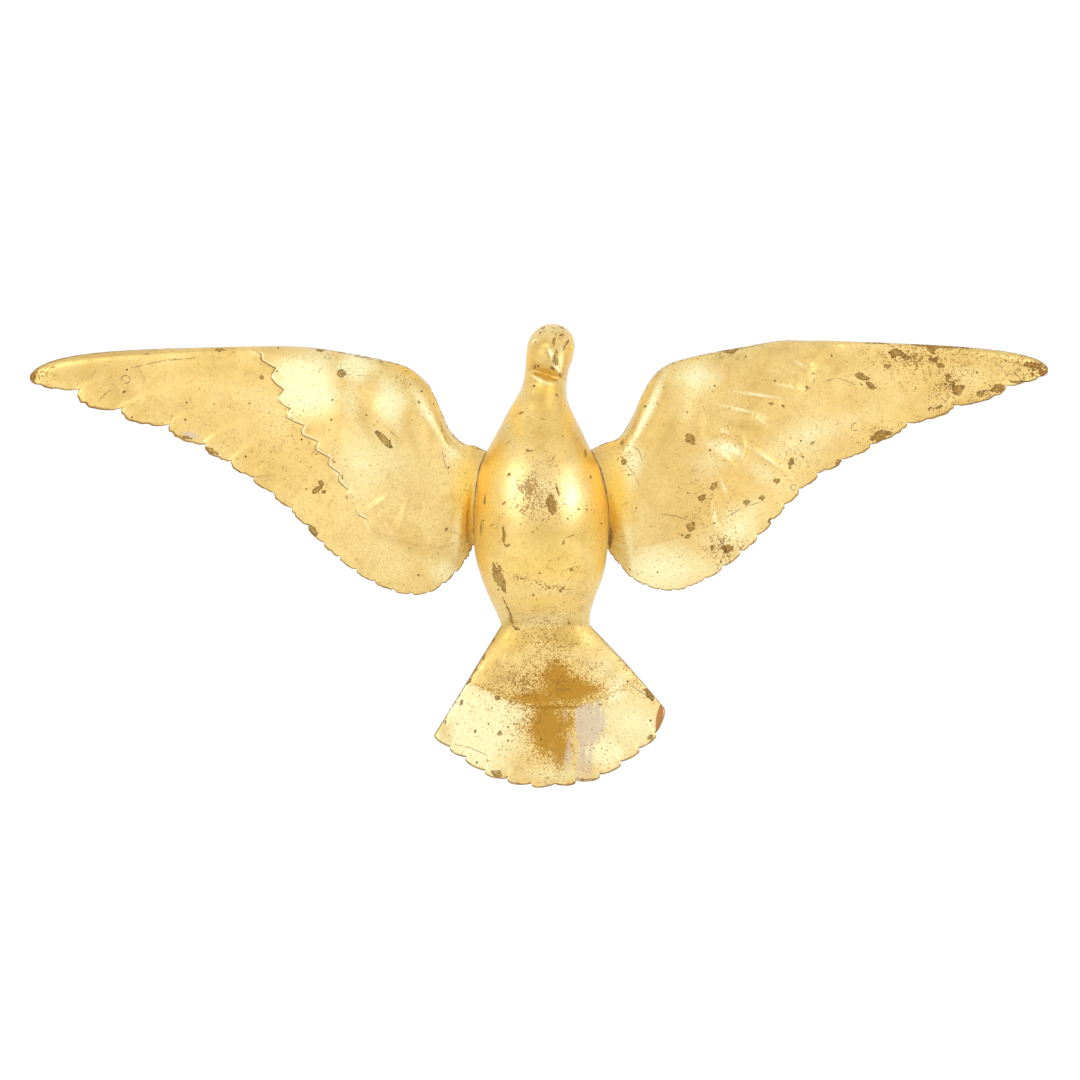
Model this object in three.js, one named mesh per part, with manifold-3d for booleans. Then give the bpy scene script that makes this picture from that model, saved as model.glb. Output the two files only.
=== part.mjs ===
import * as THREE from 'three'
import { mergeVertices } from 'three/addons/utils/BufferGeometryUtils.js'
import Module from 'manifold-3d'

// A carved and gilded wooden dove with spread wings, seen from its breast.
// Millimetres, +Z up. The wall is the plane Y = 0 and the breast faces -Y.
// The origin is the middle of the flat seat on the back, where the bird meets the wall.

// Driving dimensions of the body
const headRadius = 21.4
const headCentre = [7.5, -68, 137]
const headReach = 29
const headLean = 1.5
const beakRoot = [6.5, -69, 142]
const beakBend = [11, -105, 141]
const beakTip = [16.2, -98.5, 110.5]
const beakRadius = 10.5
const beakPoint = 1.2
const beakWidening = 1.55
const beakSides = 10
const eyeRadius = 2.2
const leftEye = [-6.5, -88.6, 142]
const rightEye = [25.2, -83.2, 137]
const tailRootZ = -112
const tailMiddleY = -36
const tailThickness = 17
const tailEndThickness = 7
const tailFlattening = 50
const tailCovertShare = 0.512
const tailCovertTilt = 0.04
const tailCovertCurve = 0.025
const tailCovertStep = 3
const tailGroove = 2.2
const tailGrooveStart = 0.8
const longGrooveFeather = 6
const longGrooveShare = 0.5
const tailLevels = 100
const tailRightBow = 2
const tailScallop = 0.19

// Driving dimensions of the wings
const featherCount = 20
const rootColumn = 21
const wingBackY = -24
const wingBow = 8
const tipSweepBack = 6
const wingCrestShare = 0.85
const tipCrestShare = 0.45
const leadingRoundShare = 0.14
const tipRoundFeathers = 0.35
const featherEdge = 0.95
const endRelief = 0.6
const shortestCovertShare = 0.84
const wingRoundShare = 0.88
const rootThickness = 36
const tipThickness = 14
const feathersThickness = 6
const featherStep = 2.2
const innerStepShare = 0.4
const covertStep = 1.6
const covertTip = 0.3
const shoulderX = 60
const spanFromShoulder = 400
const jointGap = 0.3

// The body from the head down: height, left edge, right edge, front and back.
// A back over zero is planed off at the wall plane, which leaves the flat seat.
const bodyLevels = [
  [137, -14, 29, -97, -39],
  [126, -14.9, 26.8, -93.5, -37],
  [119, -15.5, 24.3, -88, -35],
  [113.5, -16.2, 23, -81.5, -33],
  [108, -17, 22.2, -85, -31],
  [100, -19.6, 21.6, -86, -28],
  [90, -25, 22.7, -89, -23],
  [79, -31.5, 27, -91, -17],
  [60, -41.5, 36.5, -98, -8],
  [47, -48.6, 42.5, -103, -3],
  [30, -57, 52, -107, 4],
  [0, -61, 58.5, -110, 9],
  [-20, -61.8, 59.6, -109, 9],
  [-45, -61, 58.3, -104, 6],
  [-60, -58, 56.4, -99, 2],
  [-72, -54, 53.1, -93, -3],
  [-86, -48.6, 47.7, -83, -8],
  [-101, -41.4, 43.2, -71, -14],
  [-112, -36.9, 42.4, -62, -20]
]

// The notches between the tail feathers along the end of the fan, as [x, z]
const tailNotches = [
  [-96.5, -209.5], [-83, -222], [-68.5, -231], [-51.5, -243], [-31.5, -250],
  [-10, -254.5], [11, -255], [30, -252], [51.5, -246.5], [70, -235],
  [86.5, -223], [101.5, -209.5], [107, -185.5]
]

// Quill lines of the wings: feather number, share left bare by the coverts, then the line as
// the four points of a cubic curve from the feather's tip to the leading edge, as [x, z].
const leftQuills = [
  [0, 1.0, [-462.5, 113], [-448, 137], [-366, 136], [-256, 139]],
  [1, 0.85, [-419, 100], [-382, 117], [-272, 119], [-233, 139]],
  [2, 0.74, [-380, 83], [-344, 104], [-231, 104], [-213, 138]],
  [3, 0.63, [-337, 68], [-303, 90], [-209, 85], [-195, 136]],
  [4, 0.53, [-304, 50], [-276, 79], [-191, 72], [-177, 133]],
  [6, 0.455, [-261, 20], [-231, 54], [-162, 42], [-146, 127]],
  [8, 0.385, [-226, -8], [-198, 25], [-139, 27], [-122, 120]],
  [10, 0.31, [-197, -39], [-173, 0], [-121, 18], [-105, 107]],
  [12, 0.3, [-168, -63], [-152, -25], [-107, 9], [-97, 94]],
  [14, 0.34, [-134, -81], [-126, -45], [-95, 0], [-90, 78]],
  [16, 0.35, [-103, -83], [-101, -50], [-84, -5], [-83, 63]],
  [18, 0.28, [-79, -65], [-77, -36], [-72, 0], [-70, 51]],
  [19, 0.2, [-70, -54], [-71, -27], [-68, 9], [-60, 49]],
  [20, 0.13, [-63, -41], [-66, -18], [-63, 18], [-51, 45]],
  [21, 0.1, [-46, -38], [-46, -18], [-46, 18], [-36, 40]]
]
const rightQuills = [
  [0, 1.0, [456, 119.5], [447, 138], [367, 140], [255, 144]],
  [1, 0.84, [418, 103], [403, 130], [304, 130], [232, 144]],
  [2, 0.76, [371, 85], [345, 115], [246, 112], [217, 144]],
  [3, 0.66, [329, 69], [304, 97], [219, 94], [201, 142]],
  [4, 0.61, [296, 50], [273, 74], [201, 77], [185, 139]],
  [6, 0.51, [248, 24], [223, 54], [169, 61], [157, 134]],
  [8, 0.44, [218, -5], [196, 25], [142, 40], [130, 128]],
  [10, 0.39, [193, -32], [174, 0], [122, 18], [112, 122]],
  [12, 0.34, [162, -60], [149, -22], [106, 5], [99, 111]],
  [14, 0.35, [131, -78], [124, -40], [93, -4], [89, 94]],
  [16, 0.34, [106, -80.5], [102, -45], [81, -5], [81, 76]],
  [18, 0.29, [81, -70], [82, -40], [70, -5], [69, 57]],
  [19, 0.2, [70, -58], [71, -31], [64, 6], [57, 52]],
  [20, 0.13, [59, -44], [60, -22], [58, 18], [46, 47]],
  [21, 0.1, [44, -40], [44, -20], [42, 18], [34, 41]]
]

// How far each rounded feather tip stands out of the trailing edge, as a share of its width,
// from the outermost feather inwards. The last value holds for all the feathers after it.
const leftScallops = [0.15, 0.26, 0.18, 0.18, 0.17, 0.13, 0.1]
const rightScallops = [0.13, 0.12, 0.1, 0.09, 0.1, 0.12, 0.12, 0.12, 0.12, 0.14, 0.14, 0.13, 0.12, 0.06]

// How far each covert reaches out over its feather's base, as [feather, depth]. The left wing's
// coverts are sharp points and the right wing's are rounded tongues.
const leftTongues = [[0, 0], [1, 5], [2, 9], [8, 9], [11, 7], [14, 3], [21, 0]]
const rightTongues = [[0, 0], [2.5, 0], [3, 9], [5, 9], [6, 7], [12, 6], [14, 3], [21, 0]]
const widestFeathers = 5

const mix = (a, b, share) => a + (b - a) * share
const clamp = (value) => Math.min(1, Math.max(0, value))
const smooth = (value) => clamp(value) ** 2 * (3 - 2 * clamp(value))
const quarterRound = (value) => Math.sqrt(1 - (1 - clamp(value)) ** 2)

// A smooth curve through rows of numbers, read at one value of their first column
function readRows(rows, at) {
  const rising = rows[rows.length - 1][0] > rows[0][0] ? 1 : -1
  let index = 0
  while (index < rows.length - 2 && (rows[index + 1][0] - at) * rising < 0) index += 1
  const span = rows[index + 1][0] - rows[index][0]
  const share = (at - rows[index][0]) / span
  const slope = (row, column) => {
    const before = rows[Math.max(0, row - 1)]
    const after = rows[Math.min(rows.length - 1, row + 1)]
    return (after[column] - before[column]) / (after[0] - before[0])
  }
  return rows[index].map((value, column) => {
    const next = rows[index + 1][column]
    const leave = slope(index, column) * span
    const arrive = slope(index + 1, column) * span
    const s2 = share * share
    const s3 = s2 * share
    return value * (2 * s3 - 3 * s2 + 1) + leave * (s3 - 2 * s2 + share) +
      next * (3 * s2 - 2 * s3) + arrive * (s3 - s2)
  })
}

// A rounded tip between two notches: it rises steeply at the first and runs out to the second
function scallop(first, second, share, height, side) {
  const along = [second[0] - first[0], second[1] - first[1]]
  const bulge = share > 0 && share < 1 ? share ** 0.3 * (1 - share) ** 0.75 / 0.533 : 0
  return [
    first[0] + along[0] * share - along[1] * side * height * bulge,
    first[1] + along[1] * share + along[0] * side * height * bulge
  ]
}

// A closed solid from columns of paired front and back points. Where the two sheets meet they
// share their points, and where they don't a wall joins them.
function closedSheet(pairs) {
  const columns = pairs.length - 1
  const rows = pairs[0].length - 1
  const front = pairs.map((column) => column.map((pair) => pair.front))
  const back = pairs.map((column) => column.map((pair) => pair.back))
  const points = []
  const quad = (a, b, c, d) => points.push(...a, ...b, ...c, ...a, ...c, ...d)
  for (let i = 0; i < columns; i += 1) {
    for (let j = 0; j < rows; j += 1) {
      quad(front[i][j], front[i][j + 1], front[i + 1][j + 1], front[i + 1][j])
      quad(back[i][j], back[i + 1][j], back[i + 1][j + 1], back[i][j + 1])
    }
    quad(front[i][0], front[i + 1][0], back[i + 1][0], back[i][0])
    quad(front[i + 1][rows], front[i][rows], back[i][rows], back[i + 1][rows])
  }
  for (let j = 0; j < rows; j += 1) {
    quad(front[0][j + 1], front[0][j], back[0][j], back[0][j + 1])
    quad(front[columns][j], front[columns][j + 1], back[columns][j + 1], back[columns][j])
  }
  const geometry = new THREE.BufferGeometry()
  geometry.setAttribute('position', new THREE.Float32BufferAttribute(points, 3))
  return geometry
}

const wasm = await Module()
wasm.setup()

function toSolid(geometry) {
  geometry.deleteAttribute('normal')
  geometry.deleteAttribute('uv')
  const merged = mergeVertices(geometry, 0.001)
  const index = merged.index.array
  const corners = []
  for (let i = 0; i < index.length; i += 3) {
    const [a, b, c] = [index[i], index[i + 1], index[i + 2]]
    if (a !== b && b !== c && c !== a) corners.push(a, b, c)
  }
  return new wasm.Manifold(new wasm.Mesh({
    numProp: 3,
    vertProperties: new Float32Array(merged.attributes.position.array),
    triVerts: new Uint32Array(corners)
  }))
}

function toGeometry(solid) {
  const mesh = solid.getMesh()
  const geometry = new THREE.BufferGeometry()
  geometry.setAttribute('position', new THREE.BufferAttribute(mesh.vertProperties, 3))
  geometry.setIndex(new THREE.BufferAttribute(mesh.triVerts, 1))
  geometry.computeVertexNormals()
  return geometry
}

// Where the coverts end on a tail feather, as a share of its length
function tailCovert(column) {
  return tailCovertShare + tailCovertTilt * column + tailCovertCurve * column ** 2
}

// The rounded ends of the tail feathers, steep on the side that is away from the middle
function tailEnd(feather, first) {
  const a = tailNotches[first]
  const b = tailNotches[first + 1]
  const within = feather - first
  const rightHalf = first >= (tailNotches.length - 1) / 2
  return rightHalf ? scallop(b, a, 1 - within, tailScallop, 1) : scallop(a, b, within, tailScallop, -1)
}

// Body: one block with the head bent forward, a full breast, and the tail as a fan-shaped board.
// Column runs -1 to 1 from the left edge to the right. Level is the height above the tail's root,
// and below it each tailLevels of level run the full length of every tail feather.
function bodyPoint(column, level, grow) {
  const tail = clamp((tailRootZ - level) / tailLevels)
  const height = Math.max(level, tailRootZ)
  let [, left, right, front, back] = readRows(bodyLevels, Math.min(height, headCentre[2]))
  if (height > headCentre[2]) {
    const dome = Math.sqrt(Math.max(0, 1 - ((height - headCentre[2]) / headRadius) ** 2))
    const lean = headCentre[0] + headLean * (height - headCentre[2]) / headRadius
    left = lean - headRadius * dome
    right = lean + headRadius * dome
    front = headCentre[1] - headReach * dome
    back = headCentre[1] + headReach * dome
  }
  const turn = column * Math.PI / 2
  const across = mix(Math.sin(turn), column, smooth((tailRootZ - level) / tailFlattening + 0.5))
  const rootX = (left + right) / 2 + (right - left + 2 * grow) / 2 * across
  const feather = (column + 1) / 2 * (tailNotches.length - 1)
  const first = Math.min(Math.floor(feather), tailNotches.length - 2)
  const end = tailEnd(feather, first)
  const bow = tailRightBow * Math.max(0, column) ** 8 * Math.sin(Math.PI * tail)
  const x = mix(rootX, end[0], tail) + bow
  const z = mix(height, end[1], tail)
  const round = Math.cos(turn) * ((back - front) / 2 + grow)
  const board = (1 - Math.abs(column) ** 8) ** 0.125 * mix(tailThickness, tailEndThickness, tail) / 2
  const leaving = smooth((tailRootZ - level) / (1.4 * tailFlattening) + 0.57)
  const middle = mix((front + back) / 2, tailMiddleY, leaving)
  const reach = mix(round, board, smooth((tailRootZ - level) / (1.1 * tailFlattening) + 0.27))
  const covert = tailCovert(column)
  const edge = 1 - Math.abs(column) ** 12
  const nearEnd = smooth((tail - tailGrooveStart) / (1 - tailGrooveStart))
  const long = Math.abs(feather - longGrooveFeather) < 0.5 ? longGrooveShare : 0
  const groove = Math.abs(2 * (feather - first) - 1) ** 4 * tailGroove * Math.max(nearEnd, long)
  const lift = tail > covert ? -groove * edge : tailCovertStep * smooth(tail / 0.3) * edge
  const frontY = middle - reach - lift
  const backY = Math.min(middle + reach, grow)
  return { front: [x, frontY, z], back: [x, backY, z] }
}

function bodySheet(grow) {
  const columns = []
  for (let i = 0; i < tailNotches.length - 1; i += 1) {
    for (const share of [0, 0.2, 0.65]) columns.push((i + share) / (tailNotches.length - 1) * 2 - 1)
  }
  columns.push(1)
  const domeRows = [90, 72, 54, 36, 18].map(
    (angle) => headCentre[2] + headRadius * Math.sin(angle * Math.PI / 180))
  const bodyRows = [137, 119, 113.5, 108, 98, 82, 61, 38, 16, -4, -27, -48, -67, -86, -101, -112]
  const tailShares = (covert) => [0.16, 0.34, covert - 0.006, covert + 0.006, mix(covert, 1, 0.3), 0.82, 1]
  return closedSheet(columns.map((column) => {
    const tailRows = tailShares(tailCovert(column)).map((share) => tailRootZ - tailLevels * share)
    return [...domeRows, ...bodyRows, ...tailRows].map((level) => bodyPoint(column, level, grow))
  }))
}

// Beak: a wedge that grows out of the forehead, bends down and ends in a blunt point
function beakSheet() {
  const middleLine = new THREE.QuadraticBezierCurve3(
    new THREE.Vector3(...beakRoot), new THREE.Vector3(...beakBend), new THREE.Vector3(...beakTip))
  const shares = [0, 0.35, 0.55, 0.72, 0.86, 1]
  const ring = (share, side) => {
    const turn = side / beakSides * 2 * Math.PI
    const centre = middleLine.getPoint(share)
    const along = middleLine.getTangent(share)
    const up = new THREE.Vector3(0, -along.z, along.y)
    const size = mix(beakRadius, beakPoint, share)
    return centre.addScaledVector(up, Math.sin(turn) * size)
      .add(new THREE.Vector3(Math.cos(turn) * size * beakWidening, 0, 0)).toArray()
  }
  const columns = []
  for (let side = 0; side <= beakSides / 2; side += 1) {
    columns.push(shares.map((share) => ({
      front: ring(share, side),
      back: ring(share, (beakSides - side) % beakSides)
    })))
  }
  return closedSheet(columns)
}

function eye(centre) {
  return toSolid(new THREE.SphereGeometry(eyeRadius, 6, 4).translate(...centre))
}

// Wings: a board with a rounded leading edge, feathers that step down towards the tip, and a
// raised layer of coverts over their bases. Column is the feather number from the tip inwards,
// share runs along the quill line from the trailing edge to the leading edge, and bare is the
// share of that line where the coverts end.
function wingPoint(quills, scallops, side, column, share, bare) {
  const [, , tip, guideOne, guideTwo, lead] = readQuill(quills, column)
  const first = Math.floor(Math.min(column, featherCount))
  const within = column - first
  const onLine = (axis) => {
    const rest = 1 - share
    return rest ** 3 * tip[axis] + 3 * rest ** 2 * share * guideOne[axis] +
      3 * rest * share ** 2 * guideTwo[axis] + share ** 3 * lead[axis]
  }
  let x = onLine(0)
  let z = onLine(1)
  if (share === 0 && column < featherCount) {
    const height = scallops[Math.min(first, scallops.length - 1)]
    const notch = readQuill(quills, first)[2]
    const next = readQuill(quills, first + 1)[2]
    const out = scallop(notch, next, within, height, side)
    x = out[0]
    z = out[1]
  }
  const span = clamp((Math.abs(x) - shoulderX) / spanFromShoulder)
  const backY = wingBackY - wingBow * Math.sin(Math.PI * span) + tipSweepBack * span ** 2
  const full = mix(rootThickness, tipThickness, span ** 0.8)
  const crest = mix(wingCrestShare, tipCrestShare, span ** 2)
  const rise = Math.sin(Math.PI / 2 * Math.min(1, share / crest))
  const thick = mix(feathersThickness, full, rise)
  const rim = quarterRound((1 - share) / leadingRoundShare) * quarterRound(column / tipRoundFeathers)
  const fall = clamp(1 - within / featherEdge) + clamp((within - featherEdge) / (1 - featherEdge))
  const step = column < featherCount ? featherStep * fall * mix(1, innerStepShare, share / bare) : 0
  const relief = (share < bare ? step : covertStep + featherStep / 2) * (share === 0 ? endRelief : 1)
  const frontY = backY - thick / 2 - (thick / 2 + relief) * rim
  return { front: [x, frontY, z], back: [x, backY - thick / 2 + thick / 2 * rim, z] }
}

// The quill line of any feather number, between the ones that are given
function readQuill(quills, column) {
  const rows = quills.map((row) => row.flat())
  const read = readRows(rows, column)
  return [read[0], read[1], read.slice(2, 4), read.slice(4, 6), read.slice(6, 8), read.slice(8, 10)]
}

// Where the coverts end on a quill line. Each one reaches furthest out a little way across its
// feather, and level is the middle between its tip and its notch.
function covertEdge(quills, tongues, column) {
  const [, bare, tip, , , lead] = readQuill(quills, column)
  const depth = readRows(tongues, column)[1] / Math.hypot(tip[0] - lead[0], tip[1] - lead[1])
  const within = column - Math.floor(column)
  const tongue = within < covertTip ? within / covertTip : (1 - within) / (1 - covertTip)
  const level = Math.min(bare, shortestCovertShare)
  return { level, edge: Math.min(bare + depth * (0.5 - tongue), shortestCovertShare) }
}

function wingSheet(quills, scallops, tongues, side) {
  const columns = []
  for (let feather = 0; feather < featherCount; feather += 1) {
    const wide = feather < widestFeathers
    const shares = wide ? [0, 0.07, covertTip, 0.7, featherEdge] : [0, covertTip, featherEdge]
    for (const share of shares) columns.push(feather + share)
  }
  columns.push(featherCount, rootColumn)
  const pairs = columns.map((column) => {
    const { level, edge } = covertEdge(quills, tongues, column)
    const feathers = [0, 0.1, 0.32, 0.66].map((share) => share * edge)
    const coverts = [mix(level, wingRoundShare, 0.5), wingRoundShare, 0.96, 1]
    const shares = [...feathers, edge - 0.006, edge + 0.006, ...coverts]
    return shares.map((share) => wingPoint(quills, scallops, side, column, share, edge))
  })
  return closedSheet(side < 0 ? pairs.reverse() : pairs)
}

const gilt = () => new THREE.MeshStandardMaterial({ color: '#e6c26e', roughness: 0.35, metalness: 0.9 })

const body = toSolid(bodySheet(0))
  .add(toSolid(beakSheet()))
  .add(eye(leftEye))
  .add(eye(rightEye))
const seat = toSolid(bodySheet(jointGap))
const leftWing = toSolid(wingSheet(leftQuills, leftScallops, leftTongues, -1)).subtract(seat)
const rightWing = toSolid(wingSheet(rightQuills, rightScallops, rightTongues, 1)).subtract(seat)

const dove = new THREE.Group()
for (const [name, solid] of [['body', body], ['left_wing', leftWing], ['right_wing', rightWing]]) {
  const mesh = new THREE.Mesh(toGeometry(solid), gilt())
  mesh.name = name
  dove.add(mesh)
}

export default dove
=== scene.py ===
import math
import bpy
import numpy as np
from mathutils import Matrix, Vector


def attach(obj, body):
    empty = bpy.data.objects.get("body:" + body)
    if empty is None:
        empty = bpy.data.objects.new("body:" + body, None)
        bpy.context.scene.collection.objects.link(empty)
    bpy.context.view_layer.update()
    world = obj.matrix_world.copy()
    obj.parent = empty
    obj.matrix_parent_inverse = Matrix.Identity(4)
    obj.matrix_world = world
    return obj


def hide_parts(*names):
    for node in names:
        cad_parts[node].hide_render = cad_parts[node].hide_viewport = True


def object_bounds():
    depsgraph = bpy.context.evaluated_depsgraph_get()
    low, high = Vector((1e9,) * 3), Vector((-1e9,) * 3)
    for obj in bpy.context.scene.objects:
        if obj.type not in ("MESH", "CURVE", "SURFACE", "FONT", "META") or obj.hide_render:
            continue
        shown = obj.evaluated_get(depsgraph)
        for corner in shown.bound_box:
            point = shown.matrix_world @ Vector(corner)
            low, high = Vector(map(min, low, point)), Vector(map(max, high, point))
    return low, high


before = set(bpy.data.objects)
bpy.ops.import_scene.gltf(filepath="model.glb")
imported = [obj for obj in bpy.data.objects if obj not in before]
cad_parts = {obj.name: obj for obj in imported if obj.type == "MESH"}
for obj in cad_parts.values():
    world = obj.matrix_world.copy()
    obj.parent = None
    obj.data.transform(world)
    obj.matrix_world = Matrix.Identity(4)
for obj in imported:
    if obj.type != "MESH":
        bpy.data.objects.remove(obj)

# The solid model's box, kept from before anything is added.
solid_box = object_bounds()
scene = bpy.context.scene
scene.view_settings.view_transform = "Standard"
# The carving's own sizes and places are in mm, and the room's are in metres
mm = 0.001


# The room: a pale floor well below the bird, which hangs in front of the camera with its
# breast towards it, a bright plain background, and a soft box well out on each side, a little
# above it. The camera stands far back with a long lens, level with the bird's middle.
photo_width = 972 * mm
camera_distance = 8.0
film_width = 36
view_middle = Vector((-2.25 * mm, -40 * mm, -35.55 * mm))
room_brightness = 1.08
box_width = 1.1
box_height = 0.8
box_power = 7.4
box_colour = (1.0, 0.99, 0.97)
floor_level = -0.75
floor_size = 3.6
paper_white = (0.93, 0.93, 0.92, 1)

camera_data = bpy.data.cameras.new("camera")
camera_data.sensor_width = film_width
camera_data.lens = film_width * camera_distance / photo_width
camera_data.clip_end = 100
camera = bpy.data.objects.new("camera", camera_data)
camera.location = view_middle + Vector((0, -camera_distance, 0))
camera.rotation_euler = (math.radians(90), 0, 0)
scene.collection.objects.link(camera)
scene.camera = camera

for name, place in (("left_box", (-1.48, -1.57, 0.22)), ("right_box", (1.66, -1.38, 0.20))):
    light = bpy.data.lights.new(name, "AREA")
    light.shape = "RECTANGLE"
    light.size = box_width
    light.size_y = box_height
    light.energy = box_power
    light.color = box_colour
    holder = bpy.data.objects.new(name, light)
    holder.location = place
    holder.rotation_euler = (-Vector(place)).to_track_quat("-Z", "Y").to_euler()
    scene.collection.objects.link(holder)

world = bpy.data.worlds.new("studio")
scene.world = world
world.use_nodes = True
background = world.node_tree.nodes["Background"].inputs
background["Color"].default_value = (1, 1, 1, 1)
background["Strength"].default_value = room_brightness


def clear_selection():
    """Leaves edit mode and deselects everything"""
    if bpy.context.object and bpy.context.object.mode != "OBJECT":
        bpy.ops.object.mode_set(mode="OBJECT")
    bpy.ops.object.select_all(action="DESELECT")


clear_selection()
bpy.ops.mesh.primitive_plane_add(size=floor_size, location=(0, -0.2, floor_level))
floor = bpy.context.object
floor.name = "floor"
bpy.ops.object.transform_apply(location=True, rotation=True, scale=True)
paper = bpy.data.materials.new("pale_paper")
paper.use_nodes = True
paper_shader = paper.node_tree.nodes["Principled BSDF"].inputs
paper_shader["Base Color"].default_value = paper_white
paper_shader["Roughness"].default_value = 0.9
floor.data.materials.append(paper)


# The body: head, breast, belly and tail are one block of carved wood. The head is bent forward
# over a creased throat, and the tail is a fan-shaped board with a raised layer of coverts over
# its feathers. It was covered with gesso and bole, and then with burnished gold leaf.
head_radius = 21.4
head_centre = (7.5, -68, 137)
head_reach = 29
head_lean = 1.5
face_level = 100
throat_low = 94
throat_high = 124
throat_slant = 0.3
tail_root = -112
tail_middle = -36
tail_thickness = 17
tail_end_thickness = 7
tail_flattening = 50
tail_levels = 100
tail_right_bow = 2
tail_scallop = 0.19
tail_groove = 0.35
groove_start = 0.86
middle_notch = 6
covert_step = 3.2
covert_end = 0.512
covert_tilt = 0.04
covert_curve = 0.025
loss_depth = 0.35
merging_gap = 0.004
crisp_angle = math.radians(50)
# Distances in mm that stand for no lip, joint or crack near, and for no rim near
far_away = 60.0
no_rim = 40

# Height, left side, right side, front and back of the block, from the eyes down to the tail
body_levels = np.array([
    (137, -14, 29, -97, -39), (126, -14.9, 26.8, -93.5, -37), (119, -15.5, 24.3, -88, -35),
    (113.5, -16.2, 23, -81.5, -33), (108, -17, 22.2, -85, -31), (100, -19.6, 21.6, -86, -28),
    (90, -25, 22.7, -89, -23), (79, -31.5, 27, -91, -17), (60, -41.5, 36.5, -98, -8),
    (47, -48.6, 42.5, -103, -3), (30, -57, 52, -107, 4), (0, -61, 58.5, -110, 9),
    (-20, -61.8, 59.6, -109, 9), (-45, -61, 58.3, -104, 6), (-60, -58, 56.4, -99, 2),
    (-72, -54, 53.1, -93, -3), (-86, -48.6, 47.7, -83, -8), (-101, -41.4, 43.2, -71, -14),
    (-112, -36.9, 42.4, -62, -20)])

# The notches between the tail feathers along the end of the fan
tail_notches = np.array([
    (-96.5, -209.5), (-83, -222), (-68.5, -231), (-51.5, -243), (-31.5, -250), (-10, -254.5),
    (11, -255), (30, -252), (51.5, -246.5), (70, -235), (86.5, -223), (101.5, -209.5),
    (107, -185.5)])


def mix(a, b, share):
    """From a, where the share is 0, to b, where it is 1"""
    return a + (b - a) * share


def smooth(value):
    """0 below 0, 1 above 1 and a soft slope in between"""
    value = np.clip(value, 0, 1)
    return value * value * (3 - 2 * value)


def hill(distance, width):
    """A soft rise of height 1 that has sunk to a third at the width"""
    return np.exp(-(distance / width) ** 2)


def read_rows(rows, at):
    """A smooth curve through rows of numbers, read at values of their first column"""
    keys = rows[:, 0]
    rising = 1 if keys[-1] > keys[0] else -1
    slopes = np.empty_like(rows, dtype=float)
    slopes[1:-1] = (rows[2:] - rows[:-2]) / (keys[2:] - keys[:-2])[:, None]
    slopes[0] = (rows[1] - rows[0]) / (keys[1] - keys[0])
    slopes[-1] = (rows[-1] - rows[-2]) / (keys[-1] - keys[-2])
    row = np.clip(np.searchsorted(keys * rising, at * rising) - 1, 0, len(rows) - 2)
    span = (keys[row + 1] - keys[row])[:, None]
    s = (at - keys[row])[:, None] / span
    return (rows[row] * (2 * s**3 - 3 * s**2 + 1) + slopes[row] * span * (s**3 - 2 * s**2 + s)
            + rows[row + 1] * (3 * s**2 - 2 * s**3) + slopes[row + 1] * span * (s**3 - s**2))


def scallop(first, second, share, height, side):
    """The rounded tip between two notches, steep at the first and running out to the second"""
    along = second - first
    across = np.stack([-along[:, 1], along[:, 0]], axis=1)
    inside = (share > 0) & (share < 1)
    curve = np.clip(share, 0, 1)**0.3 * np.clip(1 - share, 0, 1)**0.75
    bulge = np.where(inside, curve / 0.533, 0)
    return first + along * share[:, None] + across * (side * height * bulge)[:, None]


def line_distance(x, z, line):
    """How far each point is from a line through the given points, and how far along it is"""
    near = np.full(len(x), 1e9)
    along = np.zeros(len(x))
    steps = len(line) - 1
    for number, ((ax, az), (bx, bz)) in enumerate(zip(line[:-1], line[1:])):
        dx, dz = bx - ax, bz - az
        share = np.clip(((x - ax) * dx + (z - az) * dz) / (dx * dx + dz * dz), 0, 1)
        gap = np.hypot(x - ax - share * dx, z - az - share * dz)
        along = np.where(gap < near, (number + share) / steps, along)
        near = np.minimum(near, gap)
    return near, along


def folds(x, z, lines):
    """Soft ridges and furrows: each is a height, a width and the points of its line"""
    total = np.zeros(len(x))
    for height, width, line in lines:
        gap, along = line_distance(x, z, line)
        total += height * hill(gap, width) * (0.35 + 0.65 * np.sin(np.pi * (0.1 + 0.8 * along)))
    return total


def marks(x, z, places):
    """Places of wear, and of painted shade, reflection and highlight: 1 in the middle of each and
    a half at its edge, times its strength. Each is x, z, length, width, its turn in degrees from
    level, and its strength"""
    total = np.zeros(len(x))
    for px, pz, length, width, turn, strength in places:
        angle = math.radians(turn)
        along = ((x - px) * math.cos(angle) + (z - pz) * math.sin(angle)) / (length / 2)
        across = (-(x - px) * math.sin(angle) + (z - pz) * math.cos(angle)) / (width / 2)
        reach = 0.55 * (np.abs(along) + np.abs(across)) + 0.45 * np.hypot(along, across)
        total = np.maximum(total, np.clip(1 - 0.5 * reach, 0, 1) * strength)
    return total


def spread(shares, count):
    """The same shares of each of a number of feathers, one after another, and the end"""
    whole = [number + share for number in range(count) for share in shares]
    return np.array(whole + [count], dtype=float)


def closed_block(name, columns, rows):
    """A flat grid extruded to a closed block, and each vertex's column, row and side"""
    clear_selection()
    bpy.ops.mesh.primitive_grid_add(x_subdivisions=columns, y_subdivisions=rows, size=2)
    piece = bpy.context.object
    piece.name = name
    piece.data.name = name
    bpy.ops.object.mode_set(mode="EDIT")
    bpy.ops.mesh.select_all(action="SELECT")
    bpy.ops.mesh.extrude_region_move(TRANSFORM_OT_translate={"value": (0, 0, 1)})
    bpy.ops.object.mode_set(mode="OBJECT")
    places = np.empty(len(piece.data.vertices) * 3)
    piece.data.vertices.foreach_get("co", places)
    places = places.reshape(-1, 3)
    column = np.rint((places[:, 0] + 1) / 2 * columns).astype(int)
    row = np.rint((1 - places[:, 1]) / 2 * rows).astype(int)
    return piece, column, row, places[:, 2] > 0.5


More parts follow.
